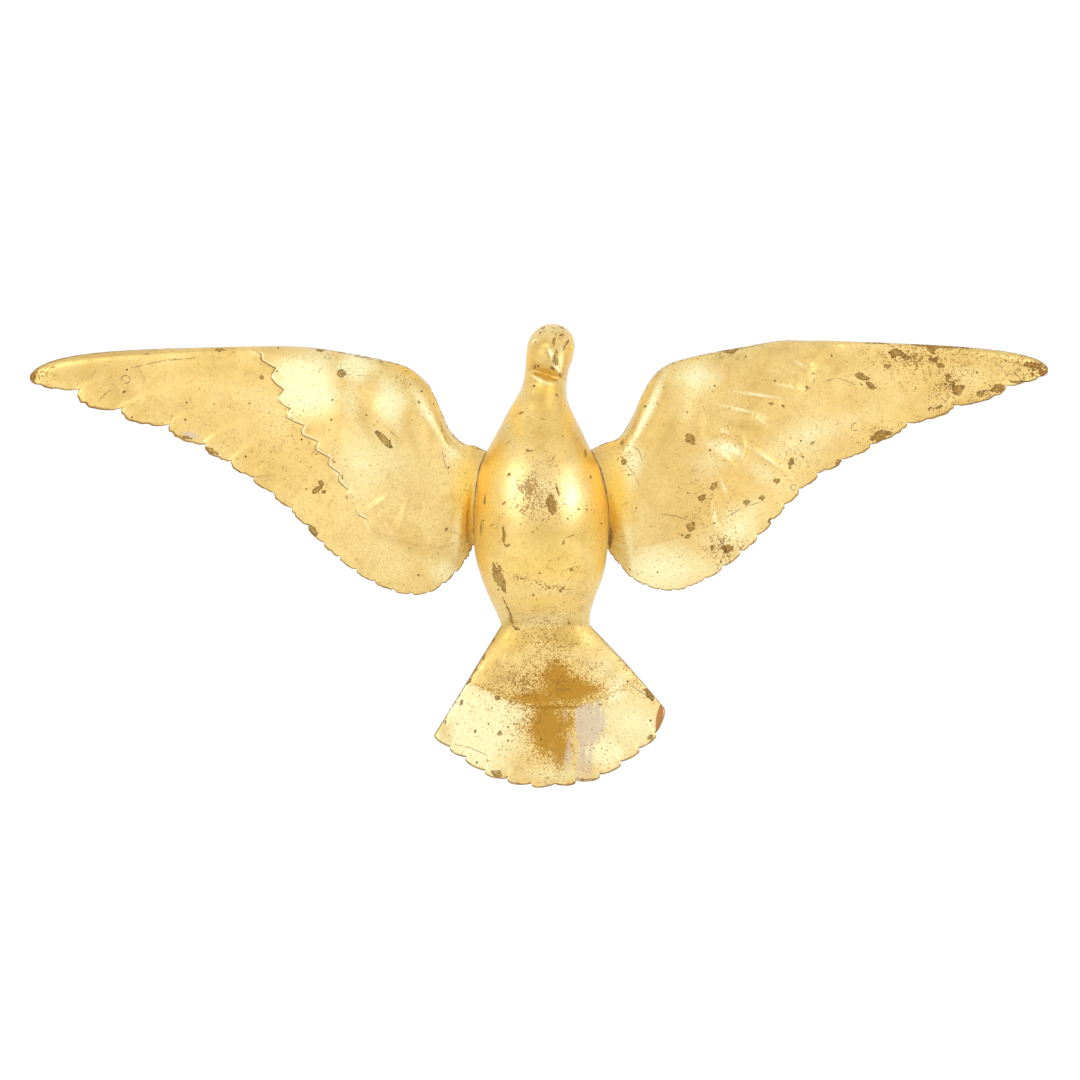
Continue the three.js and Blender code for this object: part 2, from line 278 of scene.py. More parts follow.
def put_vertices(piece, x, y, z):
    """Puts each point of a piece at its place in mm"""
    piece.data.vertices.foreach_set("co", (np.stack([x, y, z], axis=1) * mm).ravel())
    piece.data.update()


def get_vertices(piece):
    places = np.empty(len(piece.data.vertices) * 3)
    piece.data.vertices.foreach_get("co", places)
    return (places.reshape(-1, 3) / mm).T


def put_attributes(piece, **named):
    """Writes values at every point of a piece, under their names"""
    layers = piece.data.attributes
    for name, values in named.items():
        attribute = layers.get(name) or layers.new(name, "FLOAT", "POINT")
        values = np.broadcast_to(np.asarray(values, dtype=np.float32), len(piece.data.vertices))
        attribute.data.foreach_set("value", np.ascontiguousarray(values))


def get_attribute(piece, name):
    values = np.empty(len(piece.data.vertices), dtype=np.float32)
    piece.data.attributes[name].data.foreach_get("value", values)
    return values


def close_up(piece):
    """Merges the points that lie on each other and turns the faces outwards"""
    clear_selection()
    piece.select_set(True)
    bpy.context.view_layer.objects.active = piece
    bpy.ops.object.mode_set(mode="EDIT")
    bpy.ops.mesh.select_all(action="SELECT")
    bpy.ops.mesh.remove_doubles(threshold=merging_gap * mm)
    bpy.ops.mesh.normals_make_consistent(inside=False)
    bpy.ops.mesh.select_all(action="DESELECT")
    bpy.ops.object.mode_set(mode="OBJECT")


def cut_or_join(piece, other, operation):
    """Joins a shape to a piece or cuts it away, and deletes the shape"""
    clear_selection()
    piece.select_set(True)
    bpy.context.view_layer.objects.active = piece
    modifier = piece.modifiers.new("carving", "BOOLEAN")
    modifier.operation = operation
    modifier.solver = "EXACT"
    modifier.object = other
    bpy.ops.object.modifier_apply(modifier=modifier.name)
    bpy.data.objects.remove(other)


def body_form(column, level, grow, fine):
    """Where the block's front and back are, in mm. Column runs -1 to 1 from the left edge to the
    right, and below the tail's root 100 of level run the whole length of every tail feather"""
    tail = np.clip((tail_root - level) / tail_levels, 0, 1)
    height = np.maximum(level, tail_root)
    left, right, front, back = read_rows(body_levels, np.minimum(height, head_centre[2])).T[1:]
    over = np.clip((height - head_centre[2]) / head_radius, 0, 1)
    dome = np.sqrt(1 - over ** 2)
    lean = head_centre[0] + head_lean * over
    crown = over > 0
    left = np.where(crown, lean - head_radius * dome, left)
    right = np.where(crown, lean + head_radius * dome, right)
    turn = column * np.pi / 2
    flat = smooth((tail_root - level) / tail_flattening + 0.5)
    across = mix(np.sin(turn), column, flat)
    root_x = (left + right) / 2 + (right - left + 2 * grow) / 2 * across
    if fine:
        # The crease under the chin drops towards the side that the beak points to
        throat = smooth((height - throat_low) / 8) * smooth((throat_high - height) / 6)
        droop = throat * np.clip(throat_slant * (root_x - 2), -3, 6)
        front = read_rows(body_levels, np.minimum(height + droop, head_centre[2]))[:, 3]
    front = np.where(crown, head_centre[1] - head_reach * dome, front)
    back = np.where(crown, head_centre[1] + head_reach * dome, back)
    feather = (column + 1) / 2 * (len(tail_notches) - 1)
    first = np.minimum(feather.astype(int), len(tail_notches) - 2)
    within = feather - first
    a, b = tail_notches[first], tail_notches[first + 1]
    right_half = (first >= (len(tail_notches) - 1) / 2)[:, None]
    end = np.where(right_half, scallop(b, a, 1 - within, tail_scallop, 1),
                   scallop(a, b, within, tail_scallop, -1))
    x = mix(root_x, end[:, 0], tail)
    x += tail_right_bow * np.clip(column, 0, 1) ** 8 * np.sin(np.pi * tail)
    z = mix(height, end[:, 1], tail)
    round_reach = np.cos(turn) * ((back - front) / 2 + grow)
    board = (1 - np.abs(column) ** 8) ** 0.125 * mix(tail_thickness, tail_end_thickness, tail) / 2
    leaving = smooth((tail_root - level) / (1.4 * tail_flattening) + 0.57)
    centre = mix((front + back) / 2, tail_middle, leaving)
    reach = mix(round_reach, board, smooth((tail_root - level) / (1.1 * tail_flattening) + 0.27))
    edge = 1 - np.abs(column) ** 12
    covert = covert_share(column)
    step = smooth(tail / 0.3) * smooth((covert + 0.002 - tail) / 0.006)
    nearness = np.abs(2 * within - 1) ** 4
    middle = smooth((0.5 - np.abs(feather - middle_notch)) / 0.1) * smooth((0.93 - tail) / 0.1)
    ends = smooth((tail - groove_start) / (1 - groove_start))
    groove = nearness * np.maximum(ends, middle * (tail > covert))
    front_y = centre - reach - (covert_step * step - tail_groove * groove) * edge
    back_y = np.minimum(centre + reach, grow)
    return x, front_y, back_y, z, tail


def covert_share(column):
    """Where the coverts end, as a share of each tail feather"""
    return covert_end + covert_tilt * column + covert_curve * column ** 2


# The block's rows run over the crown, down the neck and the trunk, and along the tail, where four
# close ones make the step of the coverts, with as many rows before it as after it. Levels are
# heights in mm, and shares are of a tail feather
crown_row_count = 27
neck_row_gap = 0.85
trunk_row_count = 122
tail_row_count = 46
crown_levels = [head_centre[2] + head_radius * math.sin(math.radians(a))
                for a in np.linspace(90, 0, crown_row_count)]
neck_levels = list(np.arange(136.2, 92, -neck_row_gap))
trunk_levels = list(np.linspace(91, tail_root, trunk_row_count))
block_levels = np.array(crown_levels + neck_levels + trunk_levels)
even_shares = np.linspace(0, 1, tail_row_count + 1)[1:]
step_shares = np.array([-0.003, -0.001, 0.001, 0.003])
past_step = tail_row_count + len(step_shares)
row_count = len(block_levels) + past_step + tail_row_count - 1
feather_shares = [0, 0.02, 0.06, 0.13, 0.22, 0.33, 0.45, 0.57, 0.69, 0.8, 0.9, 0.96]
body_columns = spread(feather_shares, len(tail_notches) - 1) / (len(tail_notches) - 1) * 2 - 1

body, column, row, front_side = closed_block("carved_body", len(body_columns) - 1, row_count)
column = body_columns[column]
covert = covert_share(column)
tail_row = row - len(block_levels)
last = tail_row_count - 1
before = even_shares[np.clip(tail_row, 0, last)] * (covert - 0.006)
at_step = covert + step_shares[np.clip(tail_row - tail_row_count, 0, len(step_shares) - 1)]
after = mix(covert + 0.005, 1, even_shares[np.clip(tail_row - past_step, 0, last)])
tail_share = np.where(tail_row < tail_row_count, before,
                      np.where(tail_row < past_step, at_step, after))
level = np.where(tail_row < 0, block_levels[np.clip(row, 0, len(block_levels) - 1)],
                 tail_root - tail_levels * tail_share)
x, front_y, back_y, z, tail = body_form(column, level, 0, True)

# The forehead runs down into the beak, the cheeks are full, and the breast has soft planes
body_folds = [
    (1.2, 7.5, [(9.5, 148), (10.5, 140), (13.5, 131)]),
    (1.1, 3.2, [(-11, 113), (-4, 108.8), (3, 105.2)]),
    (0.7, 6, [(3, 105), (14, 102)]),
    (1.0, 8, [(-8, 128), (-4, 124)]),
    (-1.3, 1.9, [(-7, 115.8), (4, 112.2), (15, 108.4)]),
    (-0.8, 12, [(0, 93), (12, 84)])]
# The first row is one point, the top of the crown, and no fold reaches it
front_y = front_y - folds(x, z, body_folds) * (1 - np.abs(column) ** 4) * (row > 0)
y = np.where(front_side, front_y, back_y)
put_vertices(body, x, y, z)
# Roughly how far each point of the tail is from the end and the sides of the fan
tail_length = 110 + 30 * (1 - np.abs(column))
half_width = mix(50, 100, tail)
rim = np.minimum((1 - tail) * tail_length, (1 - np.abs(column)) * half_width)
rim = np.where(tail > 0, rim, no_rim)
put_attributes(body, rim=rim, front=front_side, feathers=tail > covert, lip=far_away)
close_up(body)

# The beak is a wedge that leaves the forehead, bends down and ends in a blunt point
beak_root = np.array((6.5, -69, 142))
beak_bend = np.array((11, -105, 141))
beak_tip = np.array((16.2, -98.5, 110.5))
beak_radius = 10.5
beak_point = 0.8
beak_widening = 1.55
beak_columns = 20
beak_rows = 36

beak, column, row, upper = closed_block("beak", beak_columns, beak_rows)
share = row / beak_rows
rest = 1 - share
line = (rest ** 2)[:, None] * beak_root + (2 * rest * share)[:, None] * beak_bend
line = line + (share ** 2)[:, None] * beak_tip
along = rest[:, None] * (beak_bend - beak_root) + share[:, None] * (beak_tip - beak_bend)
along = along / np.linalg.norm(along, axis=1)[:, None]
turn = np.pi * column / beak_columns * np.where(upper, 1, -1)
blunt = np.where(share > 0.9, np.clip(1 - ((share - 0.9) / 0.1) ** 2, 0.02, 1), 1)
size = mix(beak_radius, beak_point, share) * np.sqrt(blunt)
wedge = size * np.sin(turn) * np.where(upper, 1 + 0.12 * np.sin(turn) ** 6, 0.75)
x = line[:, 0] + np.cos(turn) * size * beak_widening
y = line[:, 1] + along[:, 2] * wedge
z = line[:, 2] - along[:, 1] * wedge
put_vertices(beak, x, y, z)
close_up(beak)
cut_or_join(body, beak, "UNION")

# Each eye is a small raised dot. The one that shows gets a dark middle and a pale ring of painted
# highlight below
eye_radius = 2.2
for place in ((-6.5, -88.6, 142), (25.2, -83.2, 137)):
    clear_selection()
    bpy.ops.mesh.primitive_uv_sphere_add(segments=20, ring_count=12, radius=eye_radius * mm,
                                         location=Vector(place) * mm)
    eye = bpy.context.object
    bpy.ops.object.transform_apply(location=True, rotation=True, scale=True)
    cut_or_join(body, eye, "UNION")
bpy.ops.object.shade_smooth_by_angle(angle=crisp_angle)

# The points of the beak and the eyes have no values of their own yet
x, y, z = get_vertices(body)
face_values = {"rim": no_rim, "front": y < head_centre[1], "feathers": 0, "lip": far_away}
put_attributes(body, **{name: np.where(z > face_level, value, get_attribute(body, name))
                        for name, value in face_values.items()})

# The gilding: gold leaf over ochre bole and white gesso on wood, rubbed, chipped and wormed, with
# painted shade, painted orange reflection and painted highlights laid over it. The piece's own
# attributes say where: loss, worn, bole, gesso and wood, the painted shade, the painted orange
# reflection (in places a deeper tone of the body) and the painted highlight run from 0 up, rim,
# lip, joint and crack are distances in mm to the nearest carved rim, edge of the coverts, joint
# and hairline, and front is 1 on the front side and 0 on the back.
class Value:
    """A socket in a finish that carries a number, so that maths on it is a plain expression"""

    def __init__(self, finish, socket):
        self.finish = finish
        self.socket = socket

    def __add__(self, other):
        return self.finish.maths("ADD", self, other)

    def __sub__(self, other):
        return self.finish.maths("SUBTRACT", self, other)

    def __rsub__(self, other):
        return self.finish.maths("SUBTRACT", other, self)

    def __mul__(self, other):
        return self.finish.maths("MULTIPLY", self, other)

    def __abs__(self):
        return self.finish.maths("ABSOLUTE", self)

    __radd__ = __add__
    __rmul__ = __mul__


class Finish:
    """A material and the nodes that make it up"""

    def __init__(self, name):
        self.material = bpy.data.materials.new(name)
        self.material.use_nodes = True
        self.tree = self.material.node_tree
        self.shader = self.tree.nodes["Principled BSDF"]

    def feed(self, socket, value):
        if isinstance(value, Value):
            self.tree.links.new(value.socket, socket)
        else:
            socket.default_value = value

    def node(self, kind, settings=None, sockets=None, out=0):
        node = self.tree.nodes.new(kind)
        for key, value in (settings or {}).items():
            setattr(node, key, value)
        for key, value in (sockets or {}).items():
            self.feed(node.inputs[key], value)
        return Value(self, node.outputs[out])

    def maths(self, operation, *values):
        return self.node("ShaderNodeMath", {"operation": operation}, dict(enumerate(values)))

    def edge(self, value, first, second):
        """0 up to the first level and 1 past the second, which may be the lower one, and soft
        in between"""
        return self.node("ShaderNodeMapRange", {"interpolation_type": "SMOOTHSTEP"},
                         {"Value": value, "From Min": first, "From Max": second})

    def noise(self, place, scale, detail, roughness=0.55, distortion=0.0):
        return self.node("ShaderNodeTexNoise", {}, {
            "Vector": place, "Scale": scale, "Detail": detail, "Roughness": roughness,
            "Distortion": distortion})

    def colour(self, below, above, share):
        return self.node("ShaderNodeMix", {"data_type": "RGBA"}, {0: share, 6: below, 7: above}, 2)

    def attribute(self, name):
        return self.node("ShaderNodeAttribute", {"attribute_name": name}, {}, 2)

    def most(self, first, *others):
        """The largest of some values"""
        for other in others:
            first = self.maths("MAXIMUM", first, other)
        return first


def tone(red, green, blue):
    """A colour as it looks on a screen, 0 to 255, in the linear values that a shader takes"""
    parts = [value / 255 for value in (red, green, blue)]
    linear = [v / 12.92 if v <= 0.04045 else ((v + 0.055) / 1.055) ** 2.4 for v in parts]
    return (*linear, 1.0)


pale_gold = tone(232, 204, 127)
deep_gold = tone(224, 188, 103)
orange_gold = tone(250, 202, 70)
grey_gold = tone(204, 170, 90)
highlight_gold = tone(250, 240, 186)
olive_ground = tone(160, 122, 52)
dark_ground = tone(88, 60, 28)
bole_ochre = tone(174, 124, 12)
bole_brown = tone(140, 98, 20)
gesso_white = tone(200, 182, 160)
chip_brown = tone(128, 90, 44)
red_wood = tone(176, 118, 70)
flake_brown = tone(148, 104, 36)

gilding = Finish("gilt_wood")
place = gilding.node("ShaderNodeTexCoord", {}, {}, 3)
broad = gilding.noise(place, 9, 3, 0.5)
cloud = gilding.noise(place, 34, 7, 0.62, 0.5)
mottle = gilding.noise(place, 120, 6, 0.65, 0.3)
fine = gilding.noise(place, 420, 4, 0.6)
grain = gilding.noise(place, 900, 2, 0.5)
wear_names = "loss worn bole gesso wood dull hollow bright rim lip joint crack front"
loss, worn, bole, gesso, wood, dull, hollow, bright, rim, lip, joint, crack, front = (
    gilding.attribute(name) for name in wear_names.split())

# Leaf: pale and deep gold in broad clouds, thin and greenish where it is rubbed, with a fine
# grain all over. Over it lie painted highlights, also along the lip of the coverts where the leaf
# is burnished, painted shade in grey gold, and painted orange reflection of gold in gold
gold = gilding.colour(pale_gold, deep_gold, gilding.edge(broad * 0.6 + cloud * 0.4, 0.40, 0.60))
rubbed = gilding.edge(cloud * 0.5 + mottle * 0.5, 0.47, 0.64)
gold = gilding.colour(gold, grey_gold, rubbed * 0.7)
# Painted highlight along the lip of the coverts, for burnished leaf and the light it catches,
# joined with the painted highlight marks
lip_light = gilding.edge(abs(lip - 1.6 + (mottle - 0.5) * 4), 1.6, 0.4)
shine = gilding.most(bright, lip_light * gilding.edge(cloud, 0.38, 0.50) * 0.8)
shine = gilding.edge(shine + (mottle - 0.5) * 0.5, 0.1, 0.9)
gold = gilding.colour(gold, highlight_gold, shine * 0.92)
# Painted shade: grey gold where the painted shade marks lie, darkening valleys and putting out
# highlights
shade_share = gilding.edge(dull + (cloud - 0.5) * 0.5, 0.1, 1.0)
gold = gilding.colour(gold, grey_gold, shade_share * 0.85)
# Painted orange reflection of gold in gold and painted shade at the body's sides, joints and
# throat, with a deeper tone of the body in places
glow = gilding.edge(hollow + (mottle - 0.5) * 0.2, 0.0, 1.0)
gold = gilding.colour(gold, orange_gold, glow * 0.85)
dusting = gilding.edge(fine * 0.5 + grain * 0.5 - bright * 0.04, 0.46, 0.60)
gold = gilding.colour(gold, grey_gold, dusting * 0.55)

# Bole: ochre clay that shows through the worn leaf, browner in specks
bole_noise = (mottle - 0.5) * 0.3 + (fine - 0.5) * 0.9 + (grain - 0.5) * 1.8
bole_mask = gilding.edge(bole + bole_noise, 0.30, 0.72)
bole_specks = gilding.edge(cloud * 0.5 + fine * 0.5, 0.48, 0.60)
bole_colour = gilding.colour(bole_ochre, bole_brown, bole_specks * 0.8)
base = gilding.colour(gold, bole_colour, bole_mask * 0.95)

# Gesso: scraped white ground with gold left in its grain. Wood: bare red-brown patches
scraped_place = gilding.node("ShaderNodeMapping", {}, {"Vector": place, "Scale": (300, 300, 24)})
streaks = gilding.noise(scraped_place, 1, 4)
gesso_mask = gilding.edge(gesso + (streaks - 0.5) * 1.3 + (fine - 0.5) * 0.6, 0.34, 0.80)
base = gilding.colour(base, gesso_white, gesso_mask * 0.85)
wood_mask = gilding.edge(wood + (mottle - 0.5) * 0.2, 0.44, 0.52)
base = gilding.colour(base, red_wood, wood_mask)

# Losses down to the olive-brown ground, with ragged edges, flaked specks round them, and chips
# along every carved rim
depth = loss + (mottle - 0.5) * 0.7 + (fine - 0.5) * 0.6
loss_mask = gilding.edge(depth, 0.45, 0.53)
ground_specks = gilding.edge(mottle * 0.3 + fine * 0.7, 0.46, 0.58)
ground = gilding.colour(olive_ground, dark_ground, ground_specks * 0.9)
ground = gilding.colour(ground, dark_ground, gilding.edge(depth, 1.0, 1.3) * 0.9)
gold_left = gilding.edge(fine * 0.3 + grain * 0.7, 0.50, 0.58) * 0.6
base = gilding.colour(base, ground, loss_mask * (0.95 - gold_left))
base = gilding.colour(base, dark_ground, gilding.edge(abs(depth - 0.51), 0.07, 0.01) * 0.65)
flakes = gilding.edge(fine * 0.4 + grain * 0.4 + mottle * 0.2 + worn * 0.075, 0.595, 0.635)
base = gilding.colour(base, flake_brown, flakes * 0.75)
edge_middle = gilding.edge(abs(front - 0.5), 0.42, 0.20)
chip_noise = (cloud - 0.40) * 7 + (mottle - 0.5) * 7 + (fine - 0.5) * 4
chips = gilding.edge(chip_noise - rim - edge_middle * 1.8, -0.3, 0.3)
chip_specks = gilding.edge(mottle - 0.02 * rim, 0.50, 0.58)
chip_colour = gilding.colour(chip_brown, gesso_white, chip_specks * 0.6)
base = gilding.colour(base, chip_colour, chips * 0.85)
rim_line = gilding.edge(rim + edge_middle * 1.6 + (mottle - 0.5) * 2 + (cloud - 0.5) * 4, 1.9, 0.8)
base = gilding.colour(base, chip_brown, rim_line * 0.7)
# A dark brown line along the foot of the coverts' step
lip_foot = gilding.edge(abs(lip + 0.3 + (mottle - 0.5) * 1.4), 1.0, 0.4)
lip_foot = lip_foot * gilding.edge(cloud, 0.40, 0.48)
base = gilding.colour(base, chip_brown, lip_foot * 0.75)

# The joint: a dark line where a wing meets the body, and the gesso that filled it, cracked away
filling = gilding.edge(joint + (mottle - 0.5) * 5 + (cloud - 0.5) * 6, 1.9, 1.3)
base = gilding.colour(base, gesso_white, filling * 0.45)
joint_line = gilding.edge(joint + (mottle - 0.5) * 0.8, 1.2, 0.7)
base = gilding.colour(base, dark_ground, joint_line * 0.9)

# Hairlines, worm holes of about 2 mm, and fine scratches in the leaf
hairline = gilding.edge(abs(crack + (mottle - 0.5) * 1.6), 0.42, 0.12)
hairline = hairline * gilding.edge(mottle, 0.40, 0.50)
base = gilding.colour(base, dark_ground, hairline * 0.8)
scratch_field = gilding.noise(place, 26, 2, 0.5, 1.2)
scratches = gilding.edge(abs(scratch_field - 0.5), 0.006, 0.002) * gilding.edge(cloud, 0.55, 0.60)
base = gilding.colour(base, olive_ground, scratches * 0.5)
flat_place = gilding.node(
    "ShaderNodeMapping", {}, {"Vector": place, "Rotation": (math.radians(90), 0, 0)})
cells = gilding.node(
    "ShaderNodeTexVoronoi", {"voronoi_dimensions": "2D"}, {"Vector": flat_place, "Scale": 38})
cell_colour = Value(gilding, cells.socket.node.outputs["Color"])
cell_number = gilding.node("ShaderNodeSeparateColor", {}, {0: cell_colour})
worm_holes = gilding.edge(cells + cell_number * 0.03, 0.064, 0.050)
worm_holes = worm_holes * gilding.edge(cell_number, 0.68, 0.69)
base = gilding.colour(base, dark_ground, worm_holes * 0.95)

bare = gilding.most(loss_mask, chips, gesso_mask * 0.9, bole_mask * 0.8, worm_holes, wood_mask,
                    flakes * 0.6, rim_line * 0.7)
height = (0 - bare * 0.4 - worm_holes * 1.5 - hairline * 0.8 + (cloud - 0.5) * 1.0
          + (mottle - 0.5) * 0.45 + (fine - 0.5) * (0.22 + bare * 0.4))
bump = gilding.node(
    "ShaderNodeBump", {}, {"Height": height, "Distance": 0.4 * mm, "Strength": 0.8})
roughness = 0.42 + (cloud - 0.5) * 0.2 + (grain - 0.5) * 0.1 + bare * 0.35 - bright * 0.06
lacquer = gilding.most(0.62 - bare * 0.62 - hollow * 0.3 - dull * 0.3, 0)
for socket, value in (
        ("Base Color", base), ("Metallic", 0.92 - bare * 0.88), ("Roughness", roughness),
        ("Coat Weight", lacquer), ("Normal", bump), ("Specular IOR Level", 0.2),
        ("Coat IOR", 1.8), ("Coat Roughness", 0.36)):
    gilding.feed(gilding.shader.inputs[socket], value)


def gild(piece):
    """Gives a piece the gilding as its only finish"""
    piece.data.materials.clear()
    piece.data.materials.append(gilding.material)


def signed_distance(x, z, lines):
    """The distance to the nearest of some lines, with its sign changing from side to side"""
    near = np.full(len(x), far_away)
    signed = near.copy()
    for line in lines:
        for (ax, az), (bx, bz) in zip(line[:-1], line[1:]):
            length = math.hypot(bx - ax, bz - az)
            dx, dz = (bx - ax) / length, (bz - az) / length
            along = (x - ax) * dx + (z - az) * dz
            across = (z - az) * dx - (x - ax) * dz
            beyond = np.maximum(0, np.maximum(-along, along - length))
            gap = np.abs(across) + 4 * beyond
            closer = gap < near
            signed = np.where(closer, np.sign(across + 1e-9) * gap, signed)
            near = np.minimum(near, gap)
    return signed


def body_edges(z):
    """The block's left side, right side, front and back at each height, without the tail"""
    return read_rows(body_levels, np.clip(z, tail_root, head_centre[2])).T[1:]


def body_distance(x, y, z):
    """Roughly how far a point is from the side of the body"""
    left, right, front, back = body_edges(z)
    wide, deep = (right - left) / 2, (back - front) / 2
    reach = np.hypot((x - (left + right) / 2) / wide, (y - (front + back) / 2) / deep)
    return (reach - 1) * np.minimum(wide, deep)


def side_fade(y, z):
    """1 on the body's front, fading to 0 at the middle of its side. The thin tail has no fade"""
    front, back = body_edges(z)[2:]
    fade = smooth(((front + back) / 2 - y) / (0.2 * (back - front)))
    return mix(1, fade, smooth((z - tail_root) / 20))


def ring(x, z, radius):
    """The outline of a filled nail hole"""
    turns = [math.radians(30 * number) for number in range(13)]
    return [(x + radius * math.cos(turn), z + radius * math.sin(turn)) for turn in turns]


def specks(size, *places):
    """Small round losses of one size"""
    return [(x, z, size, size, 0, 1) for x, z in places]


def wear_and_painted_light(piece, loss=(), worn=(), bole=(), gesso=(), wood=(), dull=(), hollow=(), bright=(),
            lit_feathers=(), glints=(), cracks=()):
    """Writes where the gilding is worn on the piece's front, and where shade, orange reflection
    and highlights are painted on it, and sinks the bare places a little. The painted highlights of
    the coverts lie on them only, lit_feathers on the feathers below them, and glints on both"""
    x, y, z = get_vertices(piece)
    front = get_attribute(piece, "front")
    feathers = get_attribute(piece, "feathers")
    painted_light_reach = front * (side_fade(y, z) if piece == body else 1)
    joint = far_away if piece == body else body_distance(x, y, z) + far_away * (1 - front)
    bare = marks(x, z, loss) * front
    lit = np.where(feathers > 0.5, marks(x, z, lit_feathers), marks(x, z, bright))
    put_attributes(
        piece, joint=joint, loss=bare, worn=marks(x, z, worn) * front,
        wood=marks(x, z, wood) * front, bole=marks(x, z, bole) * front,
        gesso=marks(x, z, gesso) * front * feathers, dull=marks(x, z, dull) * painted_light_reach,
        hollow=marks(x, z, hollow) * painted_light_reach, bright=np.maximum(lit, marks(x, z, glints)) * painted_light_reach,
        crack=np.where(front > 0.5, signed_distance(x, z, cracks), far_away))
    sunk = loss_depth * smooth((bare - 0.42) / 0.12)
    low, high = np.array(solid_box) / mm
    put_vertices(piece, *(np.clip(values, least, most) for values, least, most
                          in zip((x, y + sunk, z), low, high)))
